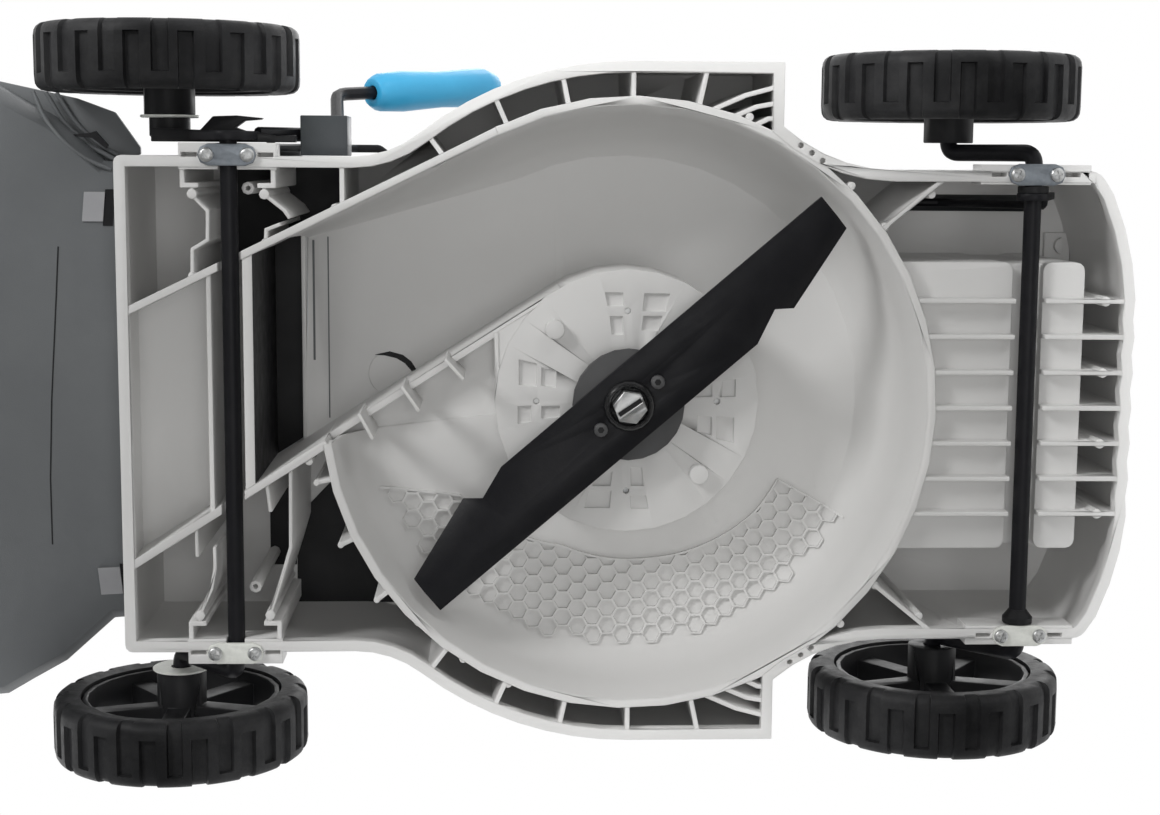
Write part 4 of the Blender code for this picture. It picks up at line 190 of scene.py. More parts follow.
palette = {
    "light_grey": mouldedPlastic("paleGreyMoulding", {
        "colour": (0.74, 0.735, 0.725), "shade": (0.71, 0.705, 0.695), "roughness": (0.4, 0.5),
        "patch": 9, "ripple": 14, "rippleDepth": 7e-4, "grain": 2400, "grainDepth": 3e-5, "gloss": 0.3}),
    "dark_grey": mouldedPlastic("charcoalMoulding", {
        "colour": (0.145, 0.152, 0.156), "shade": (0.126, 0.132, 0.137), "roughness": (0.44, 0.56),
        "patch": 12, "ripple": 12, "rippleDepth": 6e-4, "grain": 1500, "grainDepth": 9e-5, "gloss": 0.3}),
    "grey_plastic": mouldedPlastic("midGreyMoulding", {
        "colour": (0.34, 0.34, 0.35), "shade": (0.3, 0.3, 0.31), "roughness": (0.4, 0.5),
        "patch": 30, "ripple": 40, "rippleDepth": 3e-4, "grain": 2200, "grainDepth": 4e-5, "gloss": 0.4}),
    "black_plastic": mouldedPlastic("blackMoulding", {
        "colour": (0.010, 0.010, 0.011), "shade": (0.015, 0.015, 0.016), "roughness": (0.36, 0.5),
        "patch": 40, "ripple": 50, "rippleDepth": 2e-4, "grain": 1800, "grainDepth": 6e-5, "gloss": 0.2}),
    "tyre_rubber": tyreRubber("tyreRubber", {
        "colour": (0.016, 0.016, 0.017), "shade": (0.034, 0.034, 0.035), "roughness": (0.42, 0.62),
        "relief": 3e-4, "grainDepth": 6e-5, "gloss": 0.2}),
    "grip_foam": tyreRubber("gripFoam", {
        "colour": (0.02, 0.02, 0.02), "shade": (0.03, 0.03, 0.03), "roughness": (0.7, 0.9),
        "relief": 3e-4, "grainDepth": 6e-5, "gloss": 0.25}),
    "black_steel": coatedSteel("blackCoatedSteel", {
        "colour": (0.008, 0.008, 0.010), "shade": (0.013, 0.013, 0.015), "roughness": (0.34, 0.48),
        "peel": 5e-5, "gloss": 0.18}),
    "tube_paint": coatedSteel("powderCoat", {
        "colour": (0.055, 0.055, 0.058), "shade": (0.07, 0.07, 0.074), "roughness": (0.35, 0.5),
        "peel": 7e-5, "gloss": 0.5}),
    "steel": plainMetal("brightSteel", {
        "colour": (0.62, 0.62, 0.61), "shade": (0.5, 0.5, 0.5), "roughness": (0.22, 0.42),
        "patch": 120, "streak": (1, 1, 0.1), "relief": 2e-5}),
    "zinc": plainMetal("zincPlate", {
        "colour": (0.66, 0.66, 0.65), "shade": (0.5, 0.51, 0.52), "roughness": (0.28, 0.5),
        "patch": 260, "streak": (0.3, 1, 1), "relief": 2e-5}),
    "cyan": mouldedPlastic("cyanMoulding", {
        "colour": (0.045, 0.40, 0.68), "shade": (0.035, 0.35, 0.62), "roughness": (0.34, 0.46),
        "patch": 30, "ripple": 40, "rippleDepth": 3e-4, "grain": 1600, "grainDepth": 6e-5, "gloss": 0.5}),
    "red": mouldedPlastic("redMoulding", {
        "colour": (0.5, 0.02, 0.015), "shade": (0.42, 0.015, 0.012), "roughness": (0.22, 0.32),
        "patch": 60, "ripple": 60, "rippleDepth": 2e-4, "grain": 1200, "grainDepth": 3e-5, "gloss": 0.5}),
}

looks = {  # finishes of single pieces that differ from the rest of their slot
    "carrier": mouldedPlastic("carrierGrey", {
        "colour": (0.085, 0.085, 0.087), "shade": (0.07, 0.07, 0.072), "roughness": (0.4, 0.5),
        "patch": 40, "ripple": 50, "rippleDepth": 2e-4, "grain": 1800, "grainDepth": 5e-5, "gloss": 0.3}),
    "guideBox": mouldedPlastic("guideBoxGrey", {
        "colour": (0.05, 0.057, 0.06), "shade": (0.04, 0.045, 0.05), "roughness": (0.36, 0.46),
        "patch": 30, "ripple": 30, "rippleDepth": 3e-4, "grain": 1500, "grainDepth": 6e-5, "gloss": 0.3}),
    "screw": mouldedPlastic("screwGrey", {
        "colour": (0.09, 0.09, 0.092), "shade": (0.06, 0.06, 0.062), "roughness": (0.3, 0.4),
        "patch": 300, "ripple": 300, "rippleDepth": 5e-5, "grain": 3000, "grainDepth": 2e-5, "gloss": 0.5}),
    "cup": mouldedPlastic("cupGloss", {
        "colour": (0.012, 0.012, 0.013), "shade": (0.016, 0.016, 0.017), "roughness": (0.14, 0.22),
        "patch": 200, "ripple": 120, "rippleDepth": 8e-5, "grain": 2600, "grainDepth": 1e-5, "gloss": 0.5}),
    # painted shade and painted light: a darker and a paler copy of the zinc plate, standing for shade and
    # light on the clamps and hub washers
    "zincDark": plainMetal("zincDark", {
        "colour": (0.26, 0.285, 0.31), "shade": (0.2, 0.22, 0.245), "roughness": (0.3, 0.5),
        "patch": 260, "streak": (0.3, 1, 1), "relief": 2e-5}, 0.9),
    "zincPale": plainMetal("zincPale", {
        "colour": (0.80, 0.81, 0.76), "shade": (0.70, 0.71, 0.67), "roughness": (0.3, 0.5),
        "patch": 260, "streak": (0.3, 1, 1), "relief": 2e-5}, 0.08),
}
nodeLooks = {
    "blade_carrier": "carrier", "lever_guide_box": "guideBox", "blade_washer": "cup",
    "carrier_screw_front": "screw", "carrier_screw_rear": "screw",
    # the right-hand clamps get the painted-shade copy of zinc, the left-hand clamps the painted-light copy
    "axle_clamp_rear_right": "zincDark", "axle_clamp_front_right": "zincDark",
    "axle_clamp_rear_left": "zincPale", "axle_clamp_front_left": "zincPale",
}
print("materials made:", len(palette) + len(looks))


# Mesh helpers

def builtFrom(name, bm):
    mesh = bpy.data.meshes.new(name)
    bm.to_mesh(mesh)
    bm.free()
    return newObject(name, mesh)


def turnedOutwards(piece, matrix=None):  # moves a piece if asked, and turns its faces outwards
    bm = bmesh.new()
    bm.from_mesh(piece.data)
    if matrix is not None:
        bmesh.ops.transform(bm, matrix=matrix, verts=bm.verts)
    bmesh.ops.recalc_face_normals(bm, faces=bm.faces)
    bm.to_mesh(piece.data)
    bm.free()


def flattened(piece):  # the evaluated shape as a plain mesh
    bpy.context.view_layer.update()
    graph = bpy.context.evaluated_depsgraph_get()
    mesh = bpy.data.meshes.new_from_object(piece.evaluated_get(graph))
    name = piece.name
    old = piece.data
    if piece.type == "MESH":
        piece.modifiers.clear()
        piece.data = mesh
        bpy.data.meshes.remove(old)
        return piece
    bpy.data.objects.remove(piece)
    bpy.data.curves.remove(old)
    return newObject(name, mesh)


def smoothShade(piece, angle):
    piece.data.shade_smooth()
    piece.data.set_sharp_from_angle(angle=math.radians(angle))
    return piece


def finishPiece(piece, body, slot, *replaced, look=None):
    piece.data.materials.clear()
    piece.data.materials.append(looks[look] if look else palette[slot])
    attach(piece, body)
    if replaced:
        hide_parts(*replaced)


def weldedCopy(node):
    mesh = cadNodes[node].data.copy()
    mesh.materials.clear()
    piece = newObject(node + "_moulded", mesh)
    bm = bmesh.new()
    bm.from_mesh(mesh)
    bmesh.ops.remove_doubles(bm, verts=bm.verts, dist=weldDistance)
    bmesh.ops.join_triangles(bm, faces=bm.faces, angle_face_threshold=math.radians(0.6),
                             angle_shape_threshold=math.radians(60))
    bm.to_mesh(mesh)
    bm.free()
    return piece


def softEdges(piece, width, shading):
    bevel = piece.modifiers.new("SoftEdges", "BEVEL")
    bevel.width = width * mm
    bevel.segments = 2
    bevel.limit_method = "ANGLE"
    bevel.angle_limit = math.radians(32)
    bevel.use_clamp_overlap = False
    bevel.harden_normals = False
    return smoothShade(flattened(piece), shading)


def pipe(name, route, radius, sides=6):
    curve = bpy.data.curves.new(name, "CURVE")
    curve.dimensions = "3D"
    curve.bevel_depth = radius * mm
    curve.bevel_resolution = sides
    curve.use_fill_caps = True
    spline = curve.splines.new("POLY")
    spline.points.add(len(route) - 1)
    for point, place in zip(spline.points, route):
        point.co = (*place, 1)
    return smoothShade(flattened(newObject(name, curve)), 50)


def rounded(points, radius, steps=8):  # a route with its corners turned into arcs
    route = [points[0]]
    for before, corner, after in zip(points, points[1:], points[2:]):
        toBefore, toAfter = (before - corner).normalized(), (after - corner).normalized()
        half = toBefore.angle(toAfter) / 2
        longest = 0.48 * min((before - corner).length, (after - corner).length)
        reach = min(radius * mm / math.tan(half), longest)
        start = corner + toBefore * reach
        finish = corner + toAfter * reach
        for i in range(steps + 1):
            share = i / steps
            route.append(start.lerp(corner, share).lerp(corner.lerp(finish, share), share))
    route.append(points[-1])
    return route


# Geometry node helpers

def nodeTree(name, *inputs):
    tree = bpy.data.node_groups.new(name, "GeometryNodeTree")
    tree.interface.new_socket("Geometry", in_out="INPUT", socket_type="NodeSocketGeometry")
    for label, kind, value in (*inputs, ("Material", "Material", None)):
        socket = tree.interface.new_socket(label, in_out="INPUT", socket_type="NodeSocket" + kind)
        if value is not None:
            socket.default_value = value
    tree.interface.new_socket("Geometry", in_out="OUTPUT", socket_type="NodeSocketGeometry")
    return tree, tree.nodes.new("NodeGroupInput"), tree.nodes.new("NodeGroupOutput")


def closeTree(tree, given, result, shape):  # gives the finished shape its material
    finish = newNode(tree, "GeometryNodeSetMaterial")
    wire(tree, shape, "Geometry", finish, "Geometry")
    wire(tree, given, "Material", finish, "Material")
    wire(tree, finish, "Geometry", result, "Geometry")
    return tree


def runTree(piece, tree, values):
    modifier = piece.modifiers.new(tree.name, "NODES")
    modifier.node_group = tree
    for item in tree.interface.items_tree:
        if item.item_type == "SOCKET" and item.in_out == "INPUT" and item.name in values:
            modifier[item.identifier] = values[item.name]
    return flattened(piece)


def turnedRow():  # repeats a shape at equal turns about the vertical axis
    tree, given, result = nodeTree("turnedRow", ("Count", "Int", 12))
    line = newNode(tree, "GeometryNodeMeshLine", {"Offset": (0, 0, 0)})
    wire(tree, given, "Count", line, "Count")
    place = newNode(tree, "GeometryNodeInputIndex")
    share = mathNode(tree, "DIVIDE")
    wire(tree, place, "Index", share, 0)
    wire(tree, given, "Count", share, 1)
    turn = mathNode(tree, "MULTIPLY")
    turn.inputs[1].default_value = 2 * math.pi
    wire(tree, share, 0, turn, 0)
    angles = newNode(tree, "ShaderNodeCombineXYZ")
    wire(tree, turn, 0, angles, "Z")
    copies = newNode(tree, "GeometryNodeInstanceOnPoints")
    wire(tree, line, "Mesh", copies, "Points")
    wire(tree, given, "Geometry", copies, "Instance")
    wire(tree, angles, "Vector", copies, "Rotation")
    real = newNode(tree, "GeometryNodeRealizeInstances")
    wire(tree, copies, "Instances", real, "Geometry")
    weld = newNode(tree, "GeometryNodeMergeByDistance", {"Distance": weldDistance})
    wire(tree, real, "Geometry", weld, "Geometry")
    return closeTree(tree, given, result, weld)


def seatedCopies():  # sets a piece on every point, along the direction stored there
    inputs = (("Piece", "Object", None), ("Spin", "Float", 0.0), ("Seed", "Int", 1))
    tree, given, result = nodeTree("seatedCopies", *inputs)
    source = newNode(tree, "GeometryNodeObjectInfo")
    wire(tree, given, "Piece", source, "Object")
    facing = newNode(tree, "GeometryNodeInputNamedAttribute", {"Name": "facing"})
    facing.data_type = "FLOAT_VECTOR"
    align = newNode(tree, "FunctionNodeAlignRotationToVector")
    align.axis = "Z"
    wire(tree, facing, "Attribute", align, "Vector")
    spin = newNode(tree, "FunctionNodeRandomValue")
    spin.data_type = "FLOAT"
    values = [entry for entry in spin.inputs if entry.type == "VALUE"]
    spinMin = [entry for entry in values if entry.name == "Min"][0]
    spinMax = [entry for entry in values if entry.name == "Max"][0]
    spinMin.default_value = 0
    tree.links.new(given.outputs["Spin"], spinMax)
    wire(tree, given, "Seed", spin, "Seed")
    around = newNode(tree, "FunctionNodeAxisAngleToRotation", {"Axis": (0, 0, 1)})
    spun = [entry for entry in spin.outputs if entry.type == "VALUE"][0]
    tree.links.new(spun, around.inputs["Angle"])
    both = newNode(tree, "FunctionNodeRotateRotation")
    both.rotation_space = "LOCAL"
    wire(tree, align, "Rotation", both, "Rotation")
    wire(tree, around, "Rotation", both, "Rotate By")
    copies = newNode(tree, "GeometryNodeInstanceOnPoints")
    wire(tree, given, "Geometry", copies, "Points")
    wire(tree, source, "Geometry", copies, "Instance")
    wire(tree, both, "Rotation", copies, "Rotation")
    real = newNode(tree, "GeometryNodeRealizeInstances")
    wire(tree, copies, "Instances", real, "Geometry")
    return closeTree(tree, given, result, real)


def pressedOnto():  # lays a flat shape on a surface above it, keeping its thickness
    inputs = (("Surface", "Object", None), ("Start", "Float", rayStart))
    tree, given, result = nodeTree("pressedOnto", *inputs)
    surface = newNode(tree, "GeometryNodeObjectInfo")
    wire(tree, given, "Surface", surface, "Object")
    place = newNode(tree, "GeometryNodeInputPosition")
    parts = newNode(tree, "ShaderNodeSeparateXYZ")
    wire(tree, place, "Position", parts, "Vector")
    below = newNode(tree, "ShaderNodeCombineXYZ")
    wire(tree, parts, "X", below, "X")
    wire(tree, parts, "Y", below, "Y")
    wire(tree, given, "Start", below, "Z")
    ray = newNode(tree, "GeometryNodeRaycast", {"Ray Direction": (0, 0, 1), "Ray Length": 0.2})
    wire(tree, surface, "Geometry", ray, "Target Geometry")
    wire(tree, below, "Vector", ray, "Source Position")
    hit = newNode(tree, "ShaderNodeSeparateXYZ")
    wire(tree, ray, "Hit Position", hit, "Vector")
    level = mathNode(tree, "SUBTRACT")
    wire(tree, hit, "Z", level, 0)
    wire(tree, parts, "Z", level, 1)
    seated = newNode(tree, "ShaderNodeCombineXYZ")
    wire(tree, parts, "X", seated, "X")
    wire(tree, parts, "Y", seated, "Y")
    wire(tree, level, 0, seated, "Z")
    move = newNode(tree, "GeometryNodeSetPosition")
    wire(tree, given, "Geometry", move, "Geometry")
    wire(tree, seated, "Vector", move, "Position")
    return closeTree(tree, given, result, move)


rowTree = turnedRow()
seatTree = seatedCopies()
pressTree = pressedOnto()


def seatOn(name, places, facing, piece, slot, spin=0.0, seed=1):
    mesh = bpy.data.meshes.new(name)
    mesh.from_pydata([tuple(place) for place in places], [], [])
    for entry in mesh.attributes.new("facing", "FLOAT_VECTOR", "POINT").data:
        entry.vector = facing
    values = {"Piece": piece, "Spin": spin, "Seed": seed, "Material": palette[slot]}
    row = runTree(newObject(name, mesh), seatTree, values)
    bpy.data.objects.remove(piece)
    return row


def laidOn(node, piece, slot):  # rests a flat shape on the underside of a node
    values = {"Surface": cadNodes[node], "Start": rayStart, "Material": palette[slot]}
    return runTree(piece, pressTree, values)


def revolved(name, profile, steps):  # a closed shape turned about the vertical axis, from radius and height
    bm = bmesh.new()
    rings = []
    for radius, level in profile:
        if radius == 0:
            rings.append([bm.verts.new((0, 0, level * mm))])
            continue
        ring = []
        for i in range(steps):
            angle = 2 * math.pi * i / steps
            x, y = radius * mm * math.cos(angle), radius * mm * math.sin(angle)
            ring.append(bm.verts.new((x, y, level * mm)))
        rings.append(ring)
    pairs = list(zip(rings, rings[1:]))
    if len(rings[0]) > 1 and len(rings[-1]) > 1:
        pairs.append((rings[-1], rings[0]))
    for low, high in pairs:
        for i in range(steps):
            j = (i + 1) % steps
            corners = [low[i % len(low)], low[j % len(low)], high[j % len(high)], high[i % len(high)]]
            kept = [corner for k, corner in enumerate(corners) if corner not in corners[:k]]
            bm.faces.new(kept)
    bmesh.ops.recalc_face_normals(bm, faces=bm.faces)
    return builtFrom(name, bm)


def acrossY(piece, x, y, z, side):  # stands a shape made round the vertical axis on its side
    piece.data.transform(Matrix.Translation(at(x, y, z)) @ Matrix.Rotation(math.radians(90 * side), 4, "X"))
    return smoothShade(piece, 35)


def block(name, low, high):
    bm = bmesh.new()
    bmesh.ops.create_cube(bm, size=1)
    middle = (Vector(low) + Vector(high)) / 2
    for vert in bm.verts:
        vert.co = (middle + vert.co * (Vector(high) - Vector(low))) * mm
    return builtFrom(name, bm)


def carved(piece, *cutters):
    for cutter in cutters:
        cut = piece.modifiers.new("Carve", "BOOLEAN")
        cut.operation = "DIFFERENCE"
        cut.solver = "EXACT"
        cut.object = cutter
    piece = flattened(piece)
    for cutter in cutters:
        bpy.data.objects.remove(cutter)
    return piece


# Tyres: one pitch of the tread is modelled and repeated round the wheel

tyre = {
    "radius": 73.2, "width": 37.0, "bead": 58.0, "pitches": 16, "depth": 2.6,
    "outerPocket": (3.6, 11.6, 9.5), "innerPocket": (17.6, 25.0, 29.5), "slope": 0.7, "shoulder": 5.5,
    "crown": 0.25, "beadEdge": 0.6, "flank": (4, 0.2),
}


def tyrePitch(look):
    pitch = 2 * math.pi * look["radius"] / look["pitches"]
    slope = look["slope"]
    outerStart, outerEnd, outerStop = look["outerPocket"]
    innerStart, innerEnd, innerStop = look["innerPocket"]
    columns = [0, outerStart - slope, outerStart, (outerStart + outerEnd) / 2, outerEnd, outerEnd + slope,
               (outerEnd + innerStart) / 2, innerStart - slope, innerStart, (innerStart + innerEnd) / 2,
               innerEnd, innerEnd + slope, pitch]
    radius, width, shoulder = look["radius"], look["width"], look["shoulder"]
    flankDrop, flankEdge = look["flank"]
    rows = [(look["bead"], look["beadEdge"]), (radius - shoulder - flankDrop, flankEdge)]
    for turn in (0, 25, 50, 72, 90):
        lean = math.radians(turn)
        rows.append((radius - shoulder + shoulder * math.sin(lean), shoulder - shoulder * math.cos(lean)))
    levels = (outerStop - slope, outerStop, width / 2, innerStop, innerStop + slope)
    rows += [(radius + look["crown"], level) for level in levels]
    rows += [(r, width - z) for r, z in reversed(rows[:7])]
    sole = radius - shoulder - 1
    bm = bmesh.new()
    grid = []
    for along in columns:
        angle = 2 * math.pi * along / (pitch * look["pitches"])
        line = []
        for r, z in rows:
            inOuter = outerStart <= along <= outerEnd and z >= outerStop
            inInner = innerStart <= along <= innerEnd and z <= innerStop
            sunk = r - look["depth"] if r > sole and (inOuter or inInner) else r
            x, y = sunk * mm * math.cos(angle), sunk * mm * math.sin(angle)
            line.append(bm.verts.new((x, y, z * mm)))
        grid.append(line)
    for near, far in zip(grid, grid[1:]):
        for i in range(len(rows)):
            j = (i + 1) % len(rows)
            bm.faces.new((near[i], far[i], far[j], near[j]))
    bmesh.ops.recalc_face_normals(bm, faces=bm.faces)
    return builtFrom("tyrePitch", bm)


def wheelPlace(end):  # turns a shape made round the vertical axis onto its wheel, outer side outwards
    low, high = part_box("tyre_" + end)
    side = 1 if "left" in end else -1
    inner = low.y if side > 0 else high.y
    centre = Vector(((low.x + high.x) / 2, inner, (low.z + high.z) / 2))
    return Matrix.Translation(centre) @ Matrix.Rotation(math.radians(-90 * side), 4, "X")


for end in ends:
    values = {"Count": tyre["pitches"], "Material": palette["tyre_rubber"]}
    piece = runTree(tyrePitch(tyre), rowTree, values)
    piece.name = "tyre_tread_" + end
    turnedOutwards(piece, wheelPlace(end))
    smoothShade(piece, 38)
    finishPiece(piece, "wheel_" + end, "tyre_rubber", "tyre_" + end)
print("tyres made")


# Tubes and rods get round sections

rods = {
    "axleRadius": 4.8, "axleHeight": 30.5, "axleBend": 7.0, "rearAxle": -221.5, "frontAxle": 224.5,
    "crankBack": 38.5, "wheelHeight": 73.5, "rearArm": 151.5, "frontArm": 143.0, "rearStub": 202.9,
    "frontStub": 190.3, "plateOut": 152.0, "handleTube": 11.0, "legPlace": 118.0, "barPlace": 142.0,
    "barHalf": 172.0, "barBend": 44.0, "legLength": 620.0, "barLength": 480.0, "bailWire": 3.0,
    "pivot": (-205.0, 160.0), "handleLean": 128.0, "legStops": (-9.0, 300.0, 630.0), "barStart": -12.0,
    "barBends": (190.0, 60.0), "bailPlace": 396.0, "bailRise": 21.0, "bailReach": 92.0, "bailSwing": 30.0,
    "bailInset": 30.0, "bailEnd": 8.6, "bailBend": 10.0,
}


def alongHandle(distance, rise, across):
    turn = math.radians(rods["handleLean"])
    x, z = rods["pivot"]
    return at(x + distance * math.cos(turn) + rise * math.sin(turn), across,
              z + distance * math.sin(turn) - rise * math.cos(turn))


def rodsAndTubes(size):
    level, wheelLevel = size["axleHeight"], size["wheelHeight"]
    axleX, arm, stub = size["rearAxle"], size["rearArm"], size["rearStub"]
    wheelX = axleX - size["crankBack"]
    rear = [at(axleX, -size["plateOut"], level), at(axleX, arm, level), at(wheelX, arm, wheelLevel),
            at(wheelX, stub, wheelLevel)]
    axleX, arm, stub = size["frontAxle"], size["frontArm"], size["frontStub"]
    wheelX = axleX - size["crankBack"]
    front = [at(wheelX, -stub, wheelLevel), at(wheelX, -arm, wheelLevel), at(axleX, -arm, level),
             at(axleX, arm, level), at(wheelX, arm, wheelLevel), at(wheelX, stub, wheelLevel)]
    for name, points in (("rear_axle", rear), ("front_axle", front)):
        rod = pipe(name + "_rod", rounded(points, size["axleBend"]), size["axleRadius"])
        finishPiece(rod, name + "_unit", "black_steel", name)
    for side, hand in hands:
        y = side * size["legPlace"]
        route = [alongHandle(stop, 0, y) for stop in size["legStops"]]
        leg = pipe("handle_leg_tube_" + hand, route, size["handleTube"], 9)
        finishPiece(leg, "lower_handle", "tube_paint", "handle_leg_" + hand)
    upperBend, lowerBend = size["barBends"]
    wide, narrow = size["barHalf"], size["barPlace"]
    half = [(size["barLength"], wide), (upperBend, wide), (lowerBend, narrow), (size["barStart"], narrow)]
    points = [alongHandle(size["legLength"] + s, 0, -y) for s, y in reversed(half)]
    points += [alongHandle(size["legLength"] + s, 0, y) for s, y in half]
    bar = pipe("upper_bar_tube", rounded(points, size["barBend"], 12), size["handleTube"], 9)
    finishPiece(bar, "upper_handle", "tube_paint", "upper_bar")
    swing, rise = math.radians(size["bailSwing"]), size["bailRise"]
    inset, end = wide - size["bailInset"], wide - size["bailEnd"]
    start = size["legLength"] + size["bailPlace"]
    far = (start + size["bailReach"] * math.cos(swing), rise + size["bailReach"] * math.sin(swing))
    points = [alongHandle(start, rise, -end), alongHandle(start, rise, -inset), alongHandle(*far, -inset)]
    points += [alongHandle(*far, inset), alongHandle(start, rise, inset), alongHandle(start, rise, end)]
    bail = pipe("bail_wire", rounded(points, size["bailBend"]), size["bailWire"], 5)
    finishPiece(bail, "bail_lever", "black_steel", "bail")


rodsAndTubes(rods)
print("tubes and rods made")


# Every other node: its own shape with moulded or worked edges

edges = {  # node: edge rounding in mm
    "deck_shell": 0.45, "lever_guide_box": 0.6, "motor": 0.8, "motor_controller": 1.0,
    "battery_contacts": 0.5, "top_cover": 1.2, "handle_bracket_left": 0.5, "handle_bracket_right": 0.5,
    "pivot_knob_left": 1.0, "pivot_knob_right": 1.0, "flap_pin": 0.3, "spindle_shaft": 0.5,
    "blade_carrier": 0.8, "blade": 0.3, "blade_washer": 0.25, "blade_nut": 0.5, "carrier_screw_front": 0.2,
    "carrier_screw_rear": 0.2, "height_lever": 0.4, "height_lever_grip": 0.6, "front_link_arm": 0.4,
    "link_rod": 0.2, "rear_flap": 0.5, "collector_tub": 0.5, "collector_lid": 0.5, "collector_handle": 0.5,
    "fill_flap": 0.5, "battery_pack": 0.6, "battery_latch": 0.4, "safety_key": 0.5,
    "release_bolt_left": 0.4, "release_bolt_right": 0.4, "quick_release_left": 0.8,
    "quick_release_right": 0.8, "grip_sleeve": 1.2, "switch_box": 0.8, "bail_holder": 0.8,
    "lock_button": 0.8,
}
for end in ends:
    edges["wheel_rim_" + end] = 0.6
    edges["wheel_cap_" + end] = 0.6
    edges["axle_clamp_" + end] = 0.3
for node, width in edges.items():
    moulding = softEdges(weldedCopy(node), width, 38)
    finishPiece(moulding, bodyOf[node], slotOf[node], node, look=nodeLooks.get(node))
print("mouldings made:", len(edges))


# Screws in the axle clamps

clampScrew = {
    "radius": 4.0, "height": 2.2, "cross": 1.0, "spacing": 22.0, "level": 22.9, "rear": 139.0,
    "front": 131.0,
}


def screwHead(look):
    radius, height = look["radius"], look["height"]
    profile = [(0, -0.3), (radius, -0.3), (radius, 0.35 * height), (0.92 * radius, 0.62 * height),
               (0.72 * radius, 0.85 * height), (0.4 * radius, 0.97 * height), (0, height)]
    head = revolved("screwHead", profile, 24)
    arm, half = 0.62 * radius, look["cross"] / 2
    slots = [block("slot", (-arm, -half, 0.35 * height), (arm, half, height + 1)),
             block("slot", (-half * 1.01, -arm, 0.36 * height), (half * 1.01, arm, height + 1))]
    return carved(head, *slots)


places = []
for axle, place in ((rods["rearAxle"], clampScrew["rear"]), (rods["frontAxle"], clampScrew["front"])):
    for side in (1, -1):
        for step in (-0.5, 0.5):
            places.append(at(axle + step * clampScrew["spacing"], side * place, clampScrew["level"]))
screws = seatOn("clamp_screws", places, (0, 0, -1), screwHead(clampScrew), "zinc", 6.3, 4)
finishPiece(smoothShade(screws, 40), "root", "zinc")
print("screws set:", len(places))


# Honeycomb ribs on the chamber's ceiling

honeycomb = {  # inner edge as angle and radius, the slanted end as two points
    "cell": 10.2, "rib": 1.3, "proud": 2.1, "buried": 0.8, "outer": 151.0, "firstAngle": 29.0,
    "arcEnd": 149, "lastAngle": 166, "reach": 18, "levels": (50, 118), "sliver": 0.03,
    "inner": ((29, 107), (42, 107), (82, 99), (112, 96), (149, 112), (165, 112)),
    "endLine": ((-96.1, 57.6), (-142.4, 51.7)),
}


def hexRing(look):
    bm = bmesh.new()
    outer = look["cell"] / 2 / math.cos(math.pi / 6)
    inner = (look["cell"] - look["rib"]) / 2 / math.cos(math.pi / 6)
    rings = []
    low, high = -look["buried"] * mm, look["proud"] * mm
    for radius, level in ((outer, low), (outer, high), (inner, high), (inner, low)):
        rings.append([bm.verts.new((*polar(radius * mm, 60 * i), level)) for i in range(6)])
    for low, high in zip(rings, rings[1:] + rings[:1]):
        for i in range(6):
            j = (i + 1) % 6
            bm.faces.new((low[i], low[j], high[j], high[i]))
    return builtFrom("hexRing", bm)


def between(table, value):  # straight-line reading of a list of pairs
    for (x0, y0), (x1, y1) in zip(table, table[1:]):
        if value <= x1:
            return y0 + (y1 - y0) * max(0, value - x0) / (x1 - x0)
    return table[-1][1]


def honeycombPlaces(look):
    places = []
    step = look["cell"]
    rise = step * math.sqrt(3) / 2
    count = look["reach"]
    for row in range(-count, count + 1):
        for column in range(-count, count + 1):
            x, y = rise * row, step * (column + 0.5 * (row % 2))
            radius, angle = math.hypot(x, y), math.degrees(math.atan2(y, x))
            inner = between(look["inner"], angle)
            whole = inner - 0.35 * step < radius < look["outer"] - 0.5 * step
            if whole and look["firstAngle"] - 4 < angle < look["lastAngle"]:
                places.append(at(x, y, 0))
    return places


def ribStrip(bm, line, width, look):  # a flat rib along a line of points
    offsets = []
    for i, point in enumerate(line):
        ahead = line[min(i + 1, len(line) - 1)] - line[max(i - 1, 0)]
        across = Vector((-ahead.y, ahead.x, 0)).normalized() * width * mm / 2
        low, high = -look["buried"] * mm, look["proud"] * mm
        corners = []
        for shift, level in ((across, low), (across, high), (-across, high), (-across, low)):
            corners.append(bm.verts.new((point.x + shift.x, point.y + shift.y, level)))
        offsets.append(corners)
    for near, far in zip(offsets, offsets[1:]):
        for i in range(4):
            j = (i + 1) % 4
            bm.faces.new((near[i], near[j], far[j], far[i]))
    bm.faces.new(offsets[0])
    bm.faces.new(offsets[-1][::-1])


